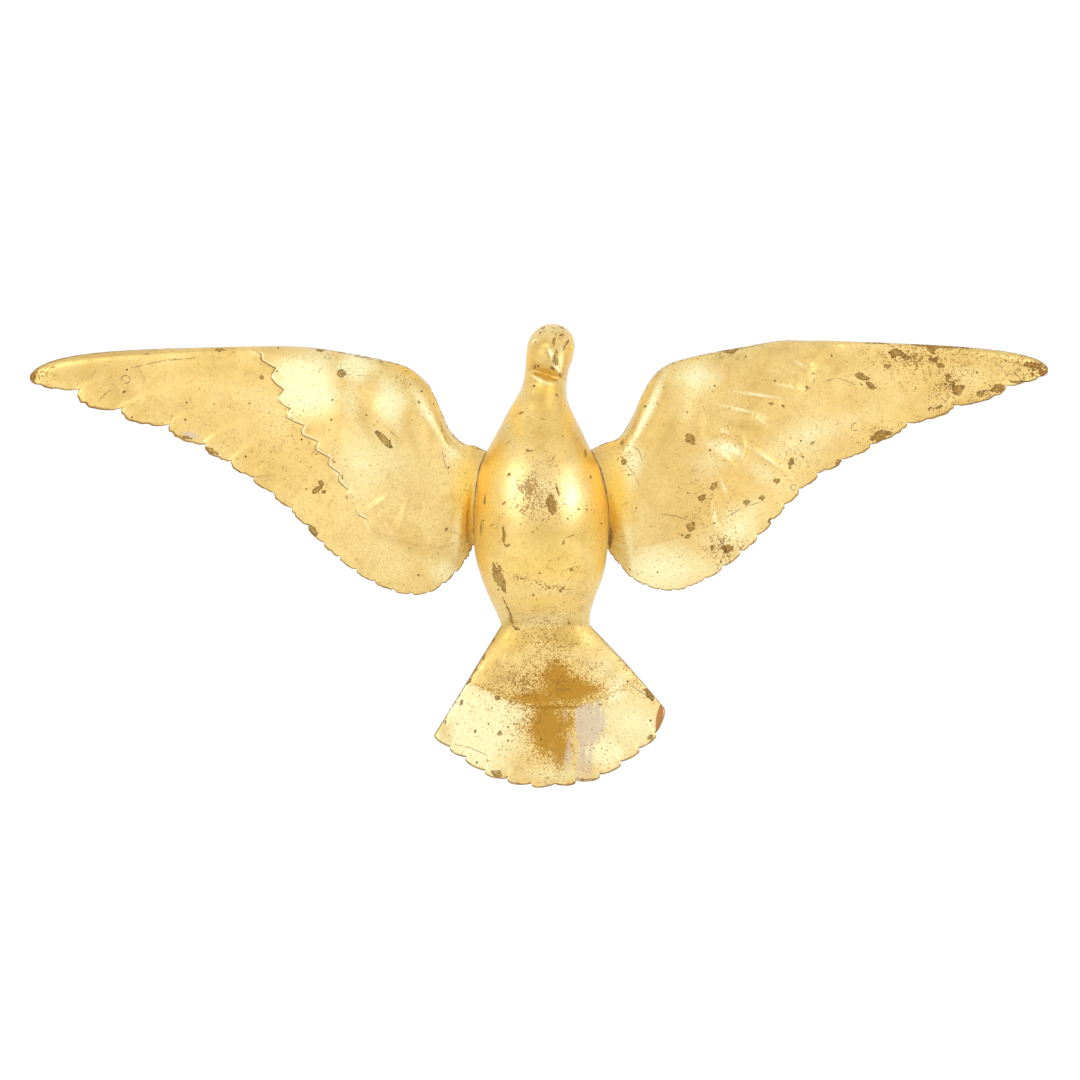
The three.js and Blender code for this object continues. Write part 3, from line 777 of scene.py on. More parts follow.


# Where the body is worn, and where shade, orange reflection and highlights are painted on it:
# x, z, length, width, turn and strength
wear_and_painted_light(
    body,
    loss=[(8.5, -4, 22, 9.5, -79, 1), (13, 9.5, 15, 2.4, -73, 0.9),
          (-12.4, 44.2, 11, 2.6, -10, 1), (-45, -125, 8, 4, 60, 0.9),
          (-54, -141, 8, 4.4, 60, 0.95), (-50, -133, 5, 3, 60, 0.8), (-66, -163, 7, 4, 60, 0.85),
          (-87, -199, 9, 3.4, 60, 0.8), (-60, -152, 5, 3, 60, 0.8), (0.8, 72.2, 9, 1.8, -5, 0.7),
          (-18.8, 78.4, 6, 3, 20, 0.8), (-51.8, 0.5, 13, 2.6, 88, 0.9),
          (-55, -24, 14, 2, 88, 0.9), (-45, -22, 7, 1.6, 25, 0.9),
          (-34.6, -32, 19, 3.6, -87, 0.9), (-31.5, -40.5, 7, 3.6, -10, 0.9),
          (18.6, -38, 9, 2.4, 66, 0.9), (24.5, -32.5, 9, 2, 20, 0.8), (-8.5, -28, 5, 2, 50, 0.9),
          (-38.7, -69.8, 27, 8.6, -65, 1), (-38.8, -59.5, 11, 3, -55, 0.8),
          (-31, -97, 26, 2.4, -66, 0.75), (-28, -107.5, 8, 4, -70, 0.9),
          (-23.5, -115, 10, 4, -30, 0.8), (-2.2, -75.2, 5, 3, -10, 0.8),
          (15.8, -80.8, 7, 3, -5, 0.9), (19, -79, 3, 2.6, 0, 0.9),
          (-19, -69.5, 20, 2.2, -14, 0.7), (6, -78.5, 18, 2, -16, 0.7),
          (-6.5, 142, 1.8, 1.8, 0, 1), (26, -62, 7, 4, 20, 0.7), (38.7, 42, 8, 2.6, -80, 0.9),
          (43, 21, 5, 2.6, 85, 0.8), (32.5, -8, 2.6, 2.2, 0, 1), (39.5, -8.4, 2.6, 2, 0, 0.9),
          (-34.7, -3, 6, 3, 50, 0.8), (-30.5, 23, 5, 4, 30, 0.8), (0.5, 154.4, 5, 2, 25, 0.8),
          (7.6, 152.6, 5, 2, 15, 0.6), (17.6, 154.4, 4, 2.4, -20, 0.9),
          (16.7, 147.6, 4, 1.6, 12, 1.2), (22, 140.9, 5.4, 2.2, 60, 1.4),
          (19.4, 136.4, 5, 1.8, 75, 1.2), (10.3, 141.8, 8, 2.6, 82, 1.2),
          (12.1, 131.5, 5, 2.6, 70, 1.3), (11.3, 125, 8, 3.8, -75, 1.9),
          (-6.8, 119.3, 4, 1.8, 70, 1.3), (8.5, 118.4, 4.4, 2.4, -40, 1.3),
          (13, 94.5, 2.2, 2, 0, 1.4), (16, 112, 4, 2, -75, 1.6), (-73, -182, 8, 3.4, 70, 0.9),
          (-41, -246, 11, 7, -25, 1), (-86, -168, 8, 4, 60, 0.8), (-70, -144, 7, 3.6, 60, 0.8),
          (-38.7, -209.7, 5, 5, 0, 1), (-40.5, -178, 7, 5.4, 0, 0.8), (-28, -183, 8, 3, -20, 0.7),
          (96.5, -175, 14, 6, -55, 0.95), (97.6, -213, 8, 7, 30, 0.85),
          (-60.4, -207.6, 3, 3, 0, 1), *specks(2.4, (22, 13), (-40, -80.5), (-76.6, -201.5)),
          *specks(2.6, (-48.4, -201), (-59, -235.7), (-49.4, -233.8), (2.6, -237),
                  (51.5, -183.4), (53, -207))],
    worn=[(-11, 9, 20, 36, 0, 2.5), (-15, -6, 16, 18, 0, 1.9), (-4, 0, 38, 40, 0, 1.6),
          (-2, -9, 62, 28, 0, 1.2), (10, 33, 9, 18, 35, 1.6), (-1, -74, 60, 8, -16, 1.7),
          (26, -62, 12, 9, 20, 1.4), (0, -56, 26, 9, 5, 0.7), (-38, -172, 84, 10, -13, 1.4),
          (-71, -166, 6, 90, -31, 1.6), (82, -158, 6, 90, 38, 1.4), (4, -110, 60, 26, 0, 0.9),
          (0, -95, 60, 22, 0, 0.6), (-16, -166, 60, 42, 0, 1.5), (10, -140, 70, 30, 0, 0.9),
          (-8, -205, 34, 60, 0, 1), (-36.5, -224.5, 13, 18, 0, 0.9), (40, -226, 60, 44, 0, 0.8),
          (10, 150, 34, 22, 0, 0.8)],
    bole=[(23, -170, 50, 24, 0, 1.4), (13, -160, 32, 34, 0, 1.2), (-4, -178, 50, 13, 0, 1.2),
          (8, -166, 100, 50, 0, 0.66), (3, -204, 28, 46, 0, 1.5), (16, -222, 20, 36, 0, 1.2),
          (18, -200, 30, 44, 0, 0.9), (4, -206, 60, 70, 0, 0.7), (-14, -202, 40, 46, 0, 0.62),
          (8, -186, 66, 9, 0, 1), (8, -128, 60, 46, 0, 0.5)],
    gesso=[(33, -198, 46, 7, 90, 1.3), (38.5, -202, 54, 8, 90, 1.4), (44, -202, 56, 8, 90, 1.4),
           (49.5, -199, 46, 8, 90, 1.3), (55, -196, 36, 7, 90, 1.1), (24, -230, 36, 16, 90, 0.75),
           (38, -234, 40, 26, 90, 0.8), (20, -194, 24, 6, 90, 0.7)],
    # Painted shade: grey gold that puts out highlights on the neck, forehead and tail root, and
    # darkens the breast and belly
    dull=[(-30, -124, 30, 24, 0, 2), (-94, -200, 20, 50, 30, 0.9), (24, -120, 26, 22, 0, 1.6),
          (0, -116, 60, 16, 0, 0.7), (-2, 90, 28, 26, 0, 0.9), (2, 139, 14, 9, 0, 1.5),
          (9, 100, 8, 30, 0, 1.1), (-4, 100, 8, 24, 0, 0.8), (4, -30, 74, 32, 0, 0.8),
          (0, 58, 60, 30, 0, 0.6), (38, -26, 34, 40, 0, 0.7), (-34, -26, 30, 36, 0, 0.5)],
    wood=[(105.4, -194, 29, 5, 79, 1.2)],
    # Painted orange reflection and shade at the throat, the sides and the joints, and a deeper
    # tone on the belly and breast
    hollow=[(-1, 117, 34, 9, -8, 0.3), (5, 112, 28, 6, -15, 0.6), (-61, 0, 16, 150, 0, 0.9),
            (58, 0, 16, 150, 0, 0.9), (2, 99, 20, 12, 0, 0.6), (-50, 0, 22, 200, 0, 0.75),
            (49, 0, 22, 200, 0, 0.75), (0, -66, 130, 60, 0, 0.55), (0, 80, 60, 90, 0, 0.3),
            (-46, 44, 22, 50, 16, 1), (46, 46, 22, 50, -16, 1.2), (-27, 84, 16, 50, 14, 1),
            (28, 84, 16, 50, -12, 1.1), (-13, 125, 12, 50, 0, 0.8), (27, 125, 12, 50, 0, 0.8),
            (-54, -60, 14, 60, 0, 0.9), (53, -60, 14, 60, 0, 0.9), (0, -90, 84, 24, 0, 0.55)],
    # Painted highlights on the breast, collar, belly, tail and eye
    bright=[(-27, 6, 34, 56, 0, 0.42), (27, 6, 36, 56, 0, 0.68), (0, 12, 76, 54, 0, 0.5),
            (0, -107, 84, 16, 0, 0.6), (-3.5, 108.5, 15, 3, -30, 1.2), (9, 103.5, 12, 4, -5, 0.5),
            (52, -152, 30, 40, -40, 0.6), (54, -133, 26, 20, -45, 0.4),
            (66, -166, 24, 26, -40, 0.8), (-6.5, 142, 4.6, 4.6, 0, 1.6), (0, -75, 70, 36, 0, 0.5)],
    lit_feathers=[(-66, -205, 100, 80, 20, 1.3), (80, -200, 90, 60, -20, 0.8),
                  (12, -246, 76, 20, 0, 0.6), (66, -176, 34, 24, -30, 0.9),
                  (57, -226, 36, 28, 0, 1.2)],
    glints=[(6, 134, 18, 3, -72, 1.2), (12, 120, 20, 2.6, -60, 1.3), (18, 127, 24, 5, -80, 0.6)],
    cracks=[[(-79, -219.6), (-66, -222), (-50, -229)], [(77, -165), (90, -173), (100, -180)]])
gild(body)
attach(body, "root")
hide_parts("body")


# The left wing: a carved board of the same wood, let in against the side of the body. Twenty
# flight feathers overlap along its trailing edge, each on top of the one outside it, and a raised
# layer of coverts with a saw-toothed edge lies over their bases. Gilded like the body.
feather_count = 20
wing_back = -24
wing_bow = 8
tip_sweep_back = 6
root_thickness = 36
tip_thickness = 14
feathers_thickness = 6
wing_crest = 0.85
tip_crest = 0.45
shoulder = 60
span_from_shoulder = 400
joint_gap = 0.3
# Half the run of the step at the coverts' edge, how far in a feather's edge stays crisp, the
# deepest chip in the rim, and the depth of the gouge between two feather ends
lip_gap = 0.45
crisp_length = 60
deepest_chip = 1.5
notch_cut = 1.5
# Shares of a feather's width: half the gouge, and the rounding of the first feather's edge
notch_half_width = 0.13
tip_round = 0.35
# Shares of a quill line: the rounded end of a feather, and the rounding of the leading edge
feather_end = 0.07
leading_round = 0.14

# The quill line of each feather: its number, the share of it that the coverts leave bare, and
# its tip, two guides and its place on the leading edge, as x and z
left_quills = np.array([
    (0, 1.0, -462.5, 113, -448, 137, -366, 136, -256, 139),
    (1, 0.85, -419, 100, -382, 117, -272, 119, -233, 139),
    (2, 0.74, -380, 83, -344, 104, -231, 104, -213, 138),
    (3, 0.63, -337, 68, -303, 90, -209, 85, -195, 136),
    (4, 0.53, -304, 50, -276, 79, -191, 72, -177, 133),
    (6, 0.455, -261, 20, -231, 54, -162, 42, -146, 127),
    (8, 0.385, -226, -8, -198, 25, -139, 27, -122, 120),
    (10, 0.31, -197, -39, -173, 0, -121, 18, -105, 107),
    (12, 0.3, -168, -63, -152, -25, -107, 9, -97, 94),
    (14, 0.34, -134, -81, -126, -45, -95, 0, -90, 78),
    (16, 0.35, -103, -83, -101, -50, -84, -5, -83, 63),
    (18, 0.28, -79, -65, -77, -36, -72, 0, -70, 51),
    (19, 0.2, -70, -54, -71, -27, -68, 9, -60, 49),
    (20, 0.13, -63, -41, -66, -18, -63, 18, -51, 45),
    (21, 0.1, -46, -38, -46, -18, -46, 18, -36, 40)], dtype=float)
left_scallops = np.array([0.15, 0.26, 0.18, 0.18, 0.17, 0.13, 0.1])


def quarter_round(value):
    """A rise from 0 to 1 along a quarter of a circle"""
    return np.sqrt(1 - (1 - np.clip(value, 0, 1)) ** 2)


def quill_point(quill, share):
    """A point on the curve from a feather's tip to the leading edge"""
    rest = 1 - share
    weights = (rest ** 3, 3 * rest ** 2 * share, 3 * rest * share ** 2, share ** 3)
    x = sum(w * quill[:, 2 + 2 * k] for k, w in enumerate(weights))
    z = sum(w * quill[:, 3 + 2 * k] for k, w in enumerate(weights))
    return x, z


def covert_edge(quills, column, depth, tip, sharp):
    """The share of each quill line where the coverts end, with one tongue on each feather: its
    depth in mm, where its tip is across the feather, and how pointed it is"""
    quill = read_rows(quills, column)
    steps = [quill_point(quill, np.full(len(column), s)) for s in np.linspace(0, 1, 13)]
    length = sum(np.hypot(b[0] - a[0], b[1] - a[1]) for a, b in zip(steps[:-1], steps[1:]))
    within = column - np.floor(column)
    tongue = np.where(within < tip, within / tip, (1 - within) / (1 - tip))
    tongue = mix(quarter_round(tongue), tongue, sharp)
    deep = np.interp(column, depth[0], depth[1])
    edge = quill[:, 1] + deep * (0.5 - tongue) / length
    return np.clip(edge, 0.04, 0.985), length, quill


def wing_form(quills, scallops, side, relief, column, share, edge, length, quill):
    """Where the wing's front and back are, in mm, at each feather and share of its quill line"""
    feather_step, covert_rise, covert_slope = relief
    first = np.minimum(np.floor(column), feather_count - 1)
    within = np.clip(column - first, 0, 1)
    feathered = column < feather_count
    x, z = quill_point(quill, share)
    # The rounded end of each feather reaches past the straight line between its notches
    notch, following = read_rows(quills, first)[:, 2:4], read_rows(quills, first + 1)[:, 2:4]
    rise = scallops[np.minimum(first, len(scallops) - 1).astype(int)]
    end = scallop(notch, following, within, rise, side)
    fade = np.where(feathered, np.clip(1 - share / feather_end, 0, 1) ** 1.5, 0)
    x += (end[:, 0] - quill[:, 2]) * fade
    z += (end[:, 1] - quill[:, 3]) * fade
    span = np.clip((np.abs(x) - shoulder) / span_from_shoulder, 0, 1)
    back_y = wing_back - wing_bow * np.sin(np.pi * span) + tip_sweep_back * span ** 2
    full = mix(root_thickness, tip_thickness, span ** 0.8)
    crest = mix(wing_crest, tip_crest, span ** 2)
    thick = mix(feathers_thickness, full, np.sin(np.pi / 2 * np.minimum(1, share / crest)))
    rim_round = quarter_round((1 - share) / leading_round) * quarter_round(column / tip_round)
    # Each feather is highest along its outer edge, crisp near its end and soft further in
    inland = smooth(share * length / crisp_length)
    lap = mix(0.15, 0.5, inland)
    climb = smooth((within - 1 + lap) / lap)
    slope = mix(np.clip(1 - within, 0, 1) ** 0.85, 1, climb)
    height = feather_step * mix(1, 0.4, smooth((column - 3) / 4)) * smooth((18 - column) / 4)
    step = np.where(feathered, height * mix(1, 0.2, inland) * slope, 0)
    raised = smooth((share - edge) * length / covert_slope + 0.5)
    ends = mix(0.55, 1, np.clip(share * length / 3, 0, 1) ** 0.5)
    reach = thick / 2 + mix(step, covert_rise, raised) * ends
    front_y = back_y - thick / 2 - reach * rim_round
    return x, front_y, back_y - thick / 2 + thick / 2 * rim_round, z


wide_shares = [0, 0.012, 0.04, 0.09, 0.16, 0.25, 0.36, 0.48, 0.6, 0.71, 0.8, 0.87, 0.92, 0.955,
               0.98]
narrow_shares = [0, 0.03, 0.1, 0.2, 0.35, 0.52, 0.68, 0.82, 0.91, 0.96]
wing_columns = np.concatenate([spread(wide_shares, 5)[:-1], 5 + spread(narrow_shares, 15),
                               feather_count + np.linspace(0, 1, 13)[1:]])
feather_rows = list(np.linspace(0, 1, 61) ** 1.25)
covert_rows = list(1 + np.linspace(0, 1, 82)[1:] ** 0.9)
# How far the rim is chipped back at each column, in mm
chipping = deepest_chip * np.random.default_rng(11).uniform(0, 1, len(wing_columns)) ** 3


def carved_wing(name, quills, scallops, side, relief, depth, tip, sharp, lip_end, wing_folds,
                tongues=()):
    """One wing as a closed block, with its root cut to fit the body. Relief is the height of a
    feather's edge, the height of the coverts and how long their slope is, and lip_end is the
    number of feathers, from the tip on, that have a crisp one"""
    rows = np.array(feather_rows + covert_rows)
    wing, column, row, front_side = closed_block(name, len(wing_columns) - 1, len(rows) - 1)
    if side < 0:
        column = len(wing_columns) - 1 - column
    column, row = wing_columns[column], rows[row]
    edge, length, quill = covert_edge(quills, column, depth, tip, sharp)
    share = np.where(row <= 1, row * (edge - lip_gap / length),
                     mix(edge + lip_gap / length, 1, np.clip(row - 1, 0, 1)))
    rim = np.minimum(np.minimum(share * length, column * 25 + 0.6), (1 - share) * length + 0.6)
    between_feathers = (column > 0.5) & (column < feather_count)
    from_notch = np.where(between_feathers, np.abs(column - np.round(column)), 1)
    cut = notch_cut * np.clip(1 - from_notch / notch_half_width, 0, 1)
    dent = (chipping[np.searchsorted(wing_columns, column)] + cut) / length
    share = share + dent * np.clip(1 - share / 0.04, 0, 1)
    x, front_y, back_y, z = wing_form(
        quills, scallops, side, relief, column, share, edge, length, quill)
    inside = smooth(share * length / 8) * quarter_round((1 - share) / leading_round)
    front_y = front_y - (folds(x, z, wing_folds) + laid_tongues(x, z, tongues)) * inside
    put_vertices(wing, x, np.where(front_side, front_y, back_y), z)
    lip = np.where(front_side & (column < lip_end), (share - edge) * length, far_away)
    put_attributes(wing, rim=rim, front=front_side, feathers=share < edge, lip=lip)
    close_up(wing)
    cut_or_join(wing, body_cutter(), "DIFFERENCE")
    bpy.ops.object.shade_smooth_by_angle(angle=crisp_angle)
    return wing


def laid_tongues(x, z, tongues):
    """Long coverts that lie on each other, each highest along its upper edge: its height, half
    width, root and rounded tip"""
    total = np.zeros(len(x))
    for height, half, (root_x, root_z), (tip_x, tip_z) in tongues:
        length = math.hypot(tip_x - root_x, tip_z - root_z)
        dx, dz = (tip_x - root_x) / length, (tip_z - root_z) / length
        along = (x - root_x) * dx + (z - root_z) * dz
        across = (z - root_z) * dx - (x - root_x) * dz
        past = np.clip((along - (length - 1.5 * half)) / 1.5, 0, None)
        inside = half - np.hypot(across, past)
        sinking = mix(1, 0.4, smooth(along / (0.4 * length) - 1.5))
        lift = height * sinking * mix(0.4, 1, np.clip(across / half + 1, 0, 2) / 2)
        total = np.maximum(total, lift * smooth(inside / 1.6) * smooth(along / (0.4 * length)))
    return total


def body_cutter():
    """The body without its tail, a joint's width larger, to cut a wing's root"""
    even = np.linspace(-1, 1, 97)
    columns = np.sin(even * np.pi / 2) * 0.5 + even * 0.5
    levels = np.array(crown_levels[::3] + list(np.linspace(134, tail_root - 60, 130)))
    cutter, column, row, front_side = closed_block("cutter", len(even) - 1, len(levels) - 1)
    x, front_y, back_y, z, _ = body_form(columns[column], levels[row], joint_gap, False)
    put_vertices(cutter, x, np.where(front_side, front_y, back_y), z)
    close_up(cutter)
    return cutter


left_folds = [
    (5.0, 44, [(-168, 108), (-160, 62), (-160, 10)]),
    (2.0, 11, [(-118, 106), (-108, 88), (-92, 62), (-74, 45)]),
    (-1.6, 12, [(-124, 76), (-112, 46), (-94, 14)]),
    (2.0, 14, [(-138, 106), (-134, 86), (-130, 70)]),
    (-1.8, 12, [(-167, 100), (-158, 77), (-146, 62)]),
    (1.0, 2.6, [(-156, -8), (-148, -3), (-139, 3)]),
    (1.0, 2.6, [(-129, -26), (-124, -12), (-121, -1)]),
    (0.9, 2.4, [(-153, -27), (-147, -34), (-141, -37)]),
    (0.7, 2.2, [(-147, -14), (-141, -8)]),
    (0.7, 2.4, [(-168, 30), (-160, 22)]),
    (0.9, 2.2, [(-204, 51), (-191, 42), (-182, 29), (-179, 14), (-174, 0), (-163, -15)])]
left_wing = carved_wing(
    "carved_left_wing", left_quills, left_scallops, -1, relief=(1.1, 2.2, 0.7),
    depth=([0, 1, 2, 6, 8, 11, 14, 21], [0, 5, 8, 8, 5, 5, 3, 0]), tip=0.3, sharp=0.85,
    lip_end=11, wing_folds=left_folds)
wear_and_painted_light(
    left_wing,
    worn=[(-455, 114, 26, 26, 0, 1.6), (-260, 40, 160, 80, -20, 0.3), (-199, 12, 26, 16, 40, 0.8),
          (-230, 60, 40, 80, -35, 0.7), (-125, 110, 30, 16, -30, 1), (-330, 60, 60, 24, -25, 0.7)],
    bole=[(-460, 113, 14, 24, 0, 0.7)],
    wood=[(-62, -28, 4, 20, 0, 0.6)],
    loss=[(-141.8, 54.5, 22, 7, -47, 1), (-203, 9.5, 14, 5, 40, 0.9), (-199, 16, 8, 5, -50, 0.9),
          (-196, 7, 7, 5, 60, 0.8), (-180.5, 114, 7.5, 7, 0, 1), (-461, 112, 9, 20, 0, 0.8),
          (-252, 110.6, 4.5, 4.2, 0, 1), (-320, 56.6, 16, 5, -15, 0.75),
          (-298.4, 44.9, 14, 6, -25, 1), (-207.4, -26.5, 15, 6, -50, 1),
          (-290, 135, 12, 4, 0, 0.8), (-277, 134, 9, 3, 0, 0.8), (-200, 135, 10, 4, -4, 0.8),
          (-356, 132, 8, 3, 3, 0.7), (-123, 118, 10, 6, -60, 0.55), (-192, -50, 8, 5, -45, 0.8),
          (-140, -80, 14, 4, -20, 0.8), (-117, 72, 8, 3, 70, 0.6), (-187, 34, 10, 2.6, -60, 0.85),
          (-180, 21, 7, 1.8, -80, 0.8), (-176, 3, 8, 1.6, -75, 0.7), (-111, 88, 4, 2.4, -70, 0.9),
          (-98, 87, 7, 4, -60, 0.6), (-203, 41, 2.6, 2.6, 0, 1), (-86.2, -26.3, 3, 3, 0, 1),
          *specks(2.4, (-245.5, 11.3), (-246.4, 78.8))],
    gesso=[(-317, 59, 15, 5, -15, 1.3)],
    # Painted shade in the valleys and over the rolled edge near the tip
    dull=[(-158, 68, 56, 14, -68, 0.6), (-110, 112, 40, 20, -35, 0.7),
          (-117, 55, 60, 12, -70, 0.6), (-230, 16, 50, 40, 0, 0.4), (-400, 118, 150, 44, 0, 0.8),
          (-320, 120, 90, 34, 0, 0.7), (-395, 130, 150, 16, 6, 1), (-278, 134, 18, 10, 0, 0.8),
          (-388, 92, 80, 20, -25, 0.9)],
    # Painted orange reflection and shade along the leading edge and at the root
    hollow=[(-66, 2, 24, 84, 4, 0.95), (-92, 84, 60, 9, -62, 1), (-120, 117, 50, 8, -28, 0.9),
            (-64, 50, 24, 9, -20, 1.1)],
    # Painted highlights where the coverts, folds and feathers face the lamps
    bright=[(-214, 104, 52, 54, -35, 1.35), (-168, 120, 30, 24, 0, 1.2),
            (-136, 87, 40, 24, -75, 1.1), (-104, 80, 50, 10, -60, 0.9),
            (-80, 42, 30, 24, -40, 0.7), (-160, 34, 76, 70, 0, 0.6), (-172, 88, 20, 46, 0, 0.6),
            (-130, 20, 60, 60, 0, 0.3), (-71, -42, 20, 46, 5, 1.1), (-84, -64, 26, 20, 0, 0.9)],
    lit_feathers=[(-184, 28, 36, 7, -65, 1), (-80, -58, 60, 40, 0, 0.4),
                  (-71, -44, 20, 48, 5, 1.1), (-84, -64, 30, 24, 0, 0.9),
                  (-290, 40, 100, 24, -38, 0.4), (-246, 134, 24, 10, 0, 1),
                  (-252, 84, 120, 56, -32, 0.3), (-140, -50, 70, 40, -40, 0.35)],
    glints=[(-171, 10, 26, 3, -80, 0.7), (-160, -18, 22, 3.5, -65, 0.6),
            (-137, -28, 20, 5, -60, 0.5)],
    cracks=[[(-90, 44), (-88, 34), (-84, 24)], [(-141, 66), (-132, 58)], ring(-375, 109, 4),
            ring(-180.5, 114, 3.6), ring(-193, 129, 2.4), [(-407, 113), (-398, 120), (-388, 124)],
            [(-372, 119), (-340, 126), (-310, 128)], [(-400, 90), (-392, 98), (-386, 100)],
            [(-178, 113), (-160, 112)], [(-91, 68), (-88, 56), (-84, 50)]])
gild(left_wing)
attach(left_wing, "root")
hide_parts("left_wing")


# The right wing: its own board, fixed the same way. Its coverts are long rounded tongues towards
# the tip and short soft scallops nearer to the body. It is the more worn of the two.
right_quills = np.array([
    (0, 1.0, 456, 119.5, 447, 138, 367, 140, 255, 144),
    (1, 0.84, 418, 103, 403, 130, 304, 130, 232, 144),
    (2, 0.76, 371, 85, 345, 115, 246, 112, 217, 144),
    (3, 0.66, 329, 69, 304, 97, 219, 94, 201, 142),
    (4, 0.61, 296, 50, 273, 74, 201, 77, 185, 139),
    (6, 0.51, 248, 24, 223, 54, 169, 61, 157, 134),
    (8, 0.44, 218, -5, 196, 25, 142, 40, 130, 128),
    (10, 0.39, 193, -32, 174, 0, 122, 18, 112, 122),
    (12, 0.34, 162, -60, 149, -22, 106, 5, 99, 111),
    (14, 0.35, 131, -78, 124, -40, 93, -4, 89, 94),
    (16, 0.34, 106, -80.5, 102, -45, 81, -5, 81, 76),
    (18, 0.29, 81, -70, 82, -40, 70, -5, 69, 57),
    (19, 0.2, 70, -58, 71, -31, 64, 6, 57, 52),
    (20, 0.13, 59, -44, 60, -22, 58, 18, 46, 47),
    (21, 0.1, 44, -40, 44, -20, 42, 18, 34, 41)], dtype=float)
right_scallops = np.array([
    0.13, 0.12, 0.1, 0.09, 0.1, 0.12, 0.12, 0.12, 0.12, 0.14, 0.14, 0.13, 0.12, 0.06])
right_folds = [
    (2.0, 10, [(116, 114), (107, 106), (95, 80), (82, 54)]),
    (-1.8, 13, [(130, 100), (120, 74), (110, 46)]),
    (1.8, 12, [(140, 118), (142, 96), (140, 76)]),
    (-1.0, 5, [(148, 84), (147, 66), (150, 54)]),
    (1.4, 2.4, [(149, 50.5), (162, 49), (178, 40)]),
    (1.1, 2.2, [(154, 42), (163, 39), (171, 32)]),
    (1.3, 2.4, [(178, 56), (182, 46), (179, 34), (171, 25)]),
    (0.9, 3.4, [(170, 18), (164, 10)]),
    (0.9, 3.2, [(156, -2), (149, -8)]),
    (1.0, 3.4, [(151, -18), (160, -34)]),
    (0.8, 2.2, [(189, 46), (218, 27)]),
    (0.6, 2.4, [(206, 58), (236, 42)]),
    (0.8, 2.2, [(154, 66), (163, 61)]),
    (-1.2, 14, [(128, 26), (112, -4)])]
right_tongues = [
    (1.7, 10, (178, 140), (244.5, 115)), (2.0, 6.5, (164, 108), (234.5, 97)),
    (2.2, 6, (162, 93), (217.5, 82.5)), (2.5, 6, (152, 79), (202, 69))]
right_wing = carved_wing(
    "carved_right_wing", right_quills, right_scallops, 1, relief=(0.6, 1.5, 7),
    depth=([0, 21], [0, 0]), tip=0.4, sharp=0.15, lip_end=0, wing_folds=right_folds,
    tongues=right_tongues)
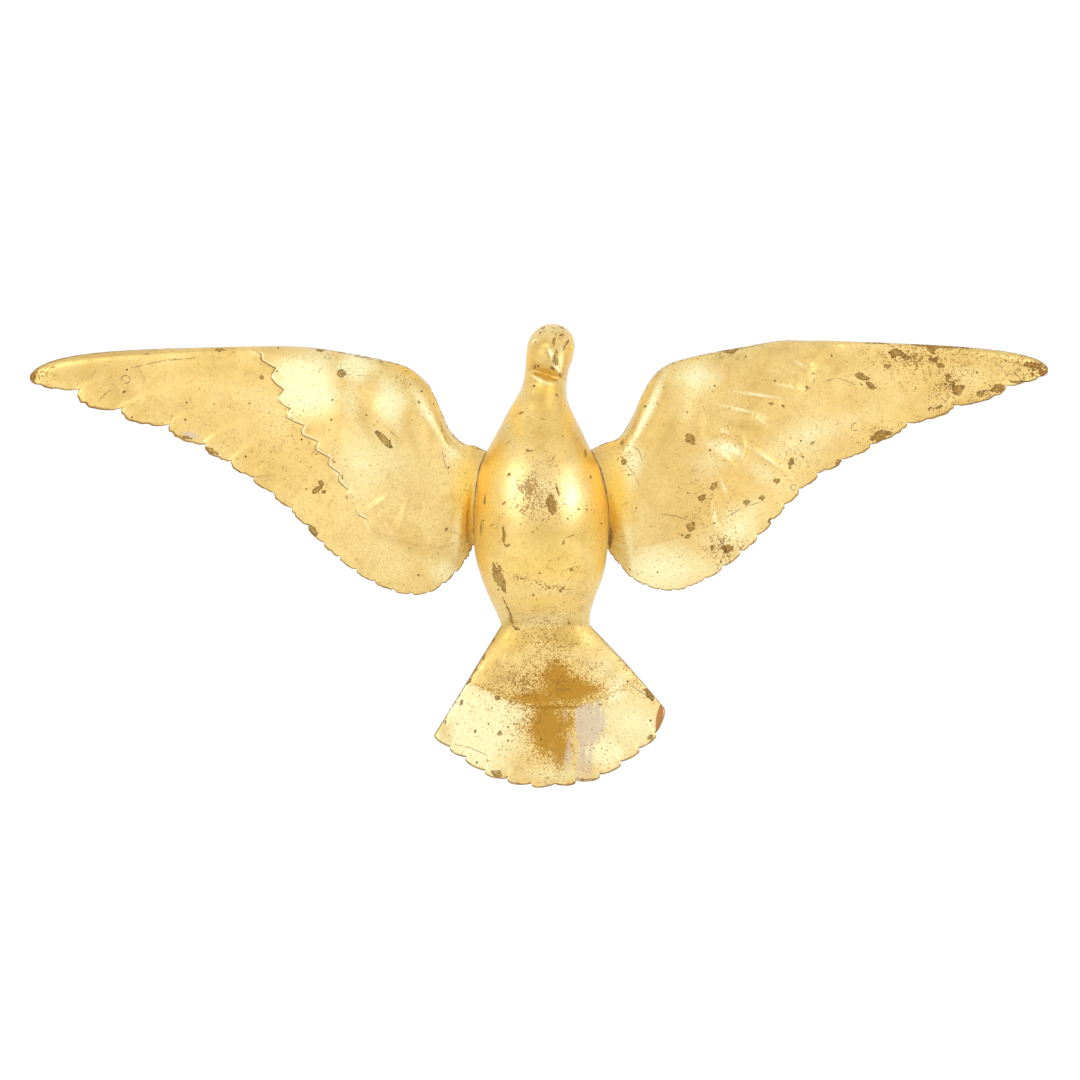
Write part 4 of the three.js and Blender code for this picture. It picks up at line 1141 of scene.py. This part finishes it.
wear_and_painted_light(
    right_wing,
    loss=[(60.5, -33, 4, 16, 0, 1.5), (132.5, 55.3, 14, 8, -62, 1), (73.3, 34.7, 7, 6, 0, 1),
          (71.4, 52, 5, 6, 0, 0.8), (237.7, 101.4, 5, 4, 0, 0.9), (243, 114, 12, 3, 70, 0.8),
          (216, 84.5, 8, 3, -60, 0.8), (205.2, 87.1, 5, 3.4, 0, 0.85),
          (152.6, -42, 6, 5, 0, 0.85), (163.6, -35, 7, 4, -10, 0.8), (317.3, 133, 12, 9, 20, 0.9),
          (350, 135.7, 8, 11, 0, 0.9), (309.2, 121, 8, 6, 0, 0.9), (286.8, 111.2, 15, 6, -15, 1),
          (295.6, 103, 18, 6, -40, 0.85), (374.7, 100.3, 11, 10, 0, 1),
          (365, 109.8, 18, 8, -45, 0.8), (358.3, 121, 8, 7, 0, 0.85),
          (395, 96.2, 11, 8, 40, 0.95), (411.5, 101.6, 13, 9, 20, 1),
          (448, 118, 30, 22, -20, 0.6), (432, 106.5, 34, 4, -4, 0.85), (453, 113, 5, 20, 0, 0.8),
          (358, 138.5, 84, 4, -3, 0.75), (300, 141.5, 40, 3, 0, 0.7), (440, 122, 12, 9, 0, 0.9),
          (325, 129, 40, 14, 5, 0.54), (352, 127, 22, 16, 0, 0.56), (371, 104, 24, 16, -20, 0.58),
          (303.8, 58, 25, 10, 22, 0.85), (355, 84, 30, 10, 22, 0.62),
          (223.3, 33.6, 13, 6, 80, 0.85), (242.4, 51.2, 6, 4, 40, 0.9),
          (266.9, 34.8, 10, 5, 25, 0.9), (153.7, 13, 11, 6, 40, 0.9), (142.8, 2.2, 8, 6, 50, 0.9),
          (183, -2, 12, 6, 20, 0.75), (197, 2, 8, 6, 10, 0.85), (211, 17.9, 8, 5, 10, 0.95),
          (133.7, -23.4, 9, 8, 70, 1), (131, -32.5, 7, 5, 20, 0.9), (166.5, -43, 14, 8, 5, 1),
          (205.6, -18.4, 7, 6, 30, 0.9), (170, 134.5, 22, 5, 12, 0.8), (92, 84, 8, 4, 40, 0.7),
          (84, -8, 5, 8, 0, 0.6), (420, 128, 40, 8, -12, 0.5)],
    worn=[(335, 127, 70, 36, 0, 1.7), (446, 119, 44, 28, -20, 1.8), (400, 112, 70, 34, -15, 0.9),
          (366, 106, 30, 44, -45, 1.7), (290, 108, 34, 24, -20, 0.8), (150, -5, 60, 60, 40, 0.9),
          (230, 40, 50, 40, 30, 0.8), (170, 60, 40, 50, 0, 0.7), (305, 60, 40, 20, 22, 1.4),
          (76, 40, 22, 30, 0, 0.8), (160, 134, 70, 14, 10, 1), (162, -42, 40, 26, 5, 1.8),
          (380, 88, 90, 16, 15, 1.2), (390, 131, 110, 12, -8, 1.3)],
    bole=[(333, 126, 56, 24, 0, 0.4), (446, 119, 36, 26, -20, 0.5)],
    gesso=[(355, 86, 30, 10, 22, 0.4)],
    # Painted orange reflection and shade along the leading edge and at the root
    hollow=[(66, 4, 26, 84, -4, 0.95), (87, 93, 80, 9, 58, 1), (135, 131, 50, 8, 15, 0.8),
            (62, 52, 24, 9, 20, 1.1)],
    # Painted shade in the valleys and across the worn tip
    dull=[(112, 60, 60, 16, 65, 0.7), (205, 112, 50, 16, -20, 0.5), (280, 124, 130, 26, -4, 0.6),
          (184, 66, 40, 8, -15, 0.9), (400, 124, 160, 36, -5, 0.6), (372, 84, 70, 14, 15, 0.8),
          (300, 90, 60, 30, 20, 0.5)],
    # Painted highlights where the coverts, tongues and feathers face the lamps
    bright=[(95, 82, 64, 9, 65, 1.1), (139, 111, 36, 28, 0, 0.9), (165, 46, 36, 14, -15, 1),
            (78, 34, 22, 54, 0, 0.95), (150, 34, 40, 40, 0, 0.5), (100, -34, 60, 40, 0, 0.3),
            (128, 92, 30, 50, 0, 0.4), (69, -46, 22, 46, -5, 1.2), (77, -54, 22, 34, 0, 0.8)],
    lit_feathers=[(176, -24, 56, 36, 50, 0.8), (200, 24, 60, 24, -30, 0.5),
                  (380, 115, 50, 20, -10, 0.4), (84, -56, 60, 40, 0, 0.5),
                  (69, -46, 22, 50, -5, 1.2), (104, -62, 104, 48, 0, 0.95),
                  (240, 58, 120, 36, 22, 0.6), (156, -36, 56, 34, 0, 0.5),
                  (232, 38, 60, 26, 25, 0.4)],
    glints=[(230.5, 122.5, 17, 2.6, -27, 1), (219.5, 102.7, 26, 2.6, -12, 0.9),
            (192, 95, 46, 2.8, -8, 0.9), (176, 82, 40, 2.8, -14, 0.9),
            (196, 73, 12, 2.6, -45, 0.9), (163, 62, 12, 2.4, -25, 1), (204, 36, 36, 2, -33, 1),
            (179, 42, 20, 4, -68, 0.7), (163, 12, 22, 4.5, -72, 0.7), (155, -15, 26, 5, -80, 0.7)],
    cracks=[[(107.3, -12.2), (120, -14), (134.3, -19.1)],
            [(164.7, -15.7), (180, -6), (200, -0.6)], [(71.4, 52), (73, 40), (73.3, 34.7)],
            [(73.3, 34.7), (82, 24), (88, 12)], [(76, 50), (86, 46), (90, 36)],
            [(164.7, -42.9), (160, -56)], [(164.7, -42.9), (170, -57)],
            [(164.7, -42.9), (156, -30)], [(307, 142.7), (330, 128.2)],
            [(255, 107.5), (264, 110), (280, 105.3)], [(351, 100), (362, 90), (372, 86)],
            [(407, 123), (414, 120), (419.5, 111.5)], [(424, 117.7), (432, 108), (444.4, 106.3)],
            [(245, 112), (243, 104), (236, 98)], ring(281, 66, 3.4), ring(437, 121, 4),
            ring(374.7, 100.3, 6), ring(226, 11.6, 2.6)])
gild(right_wing)
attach(right_wing, "root")
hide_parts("right_wing")
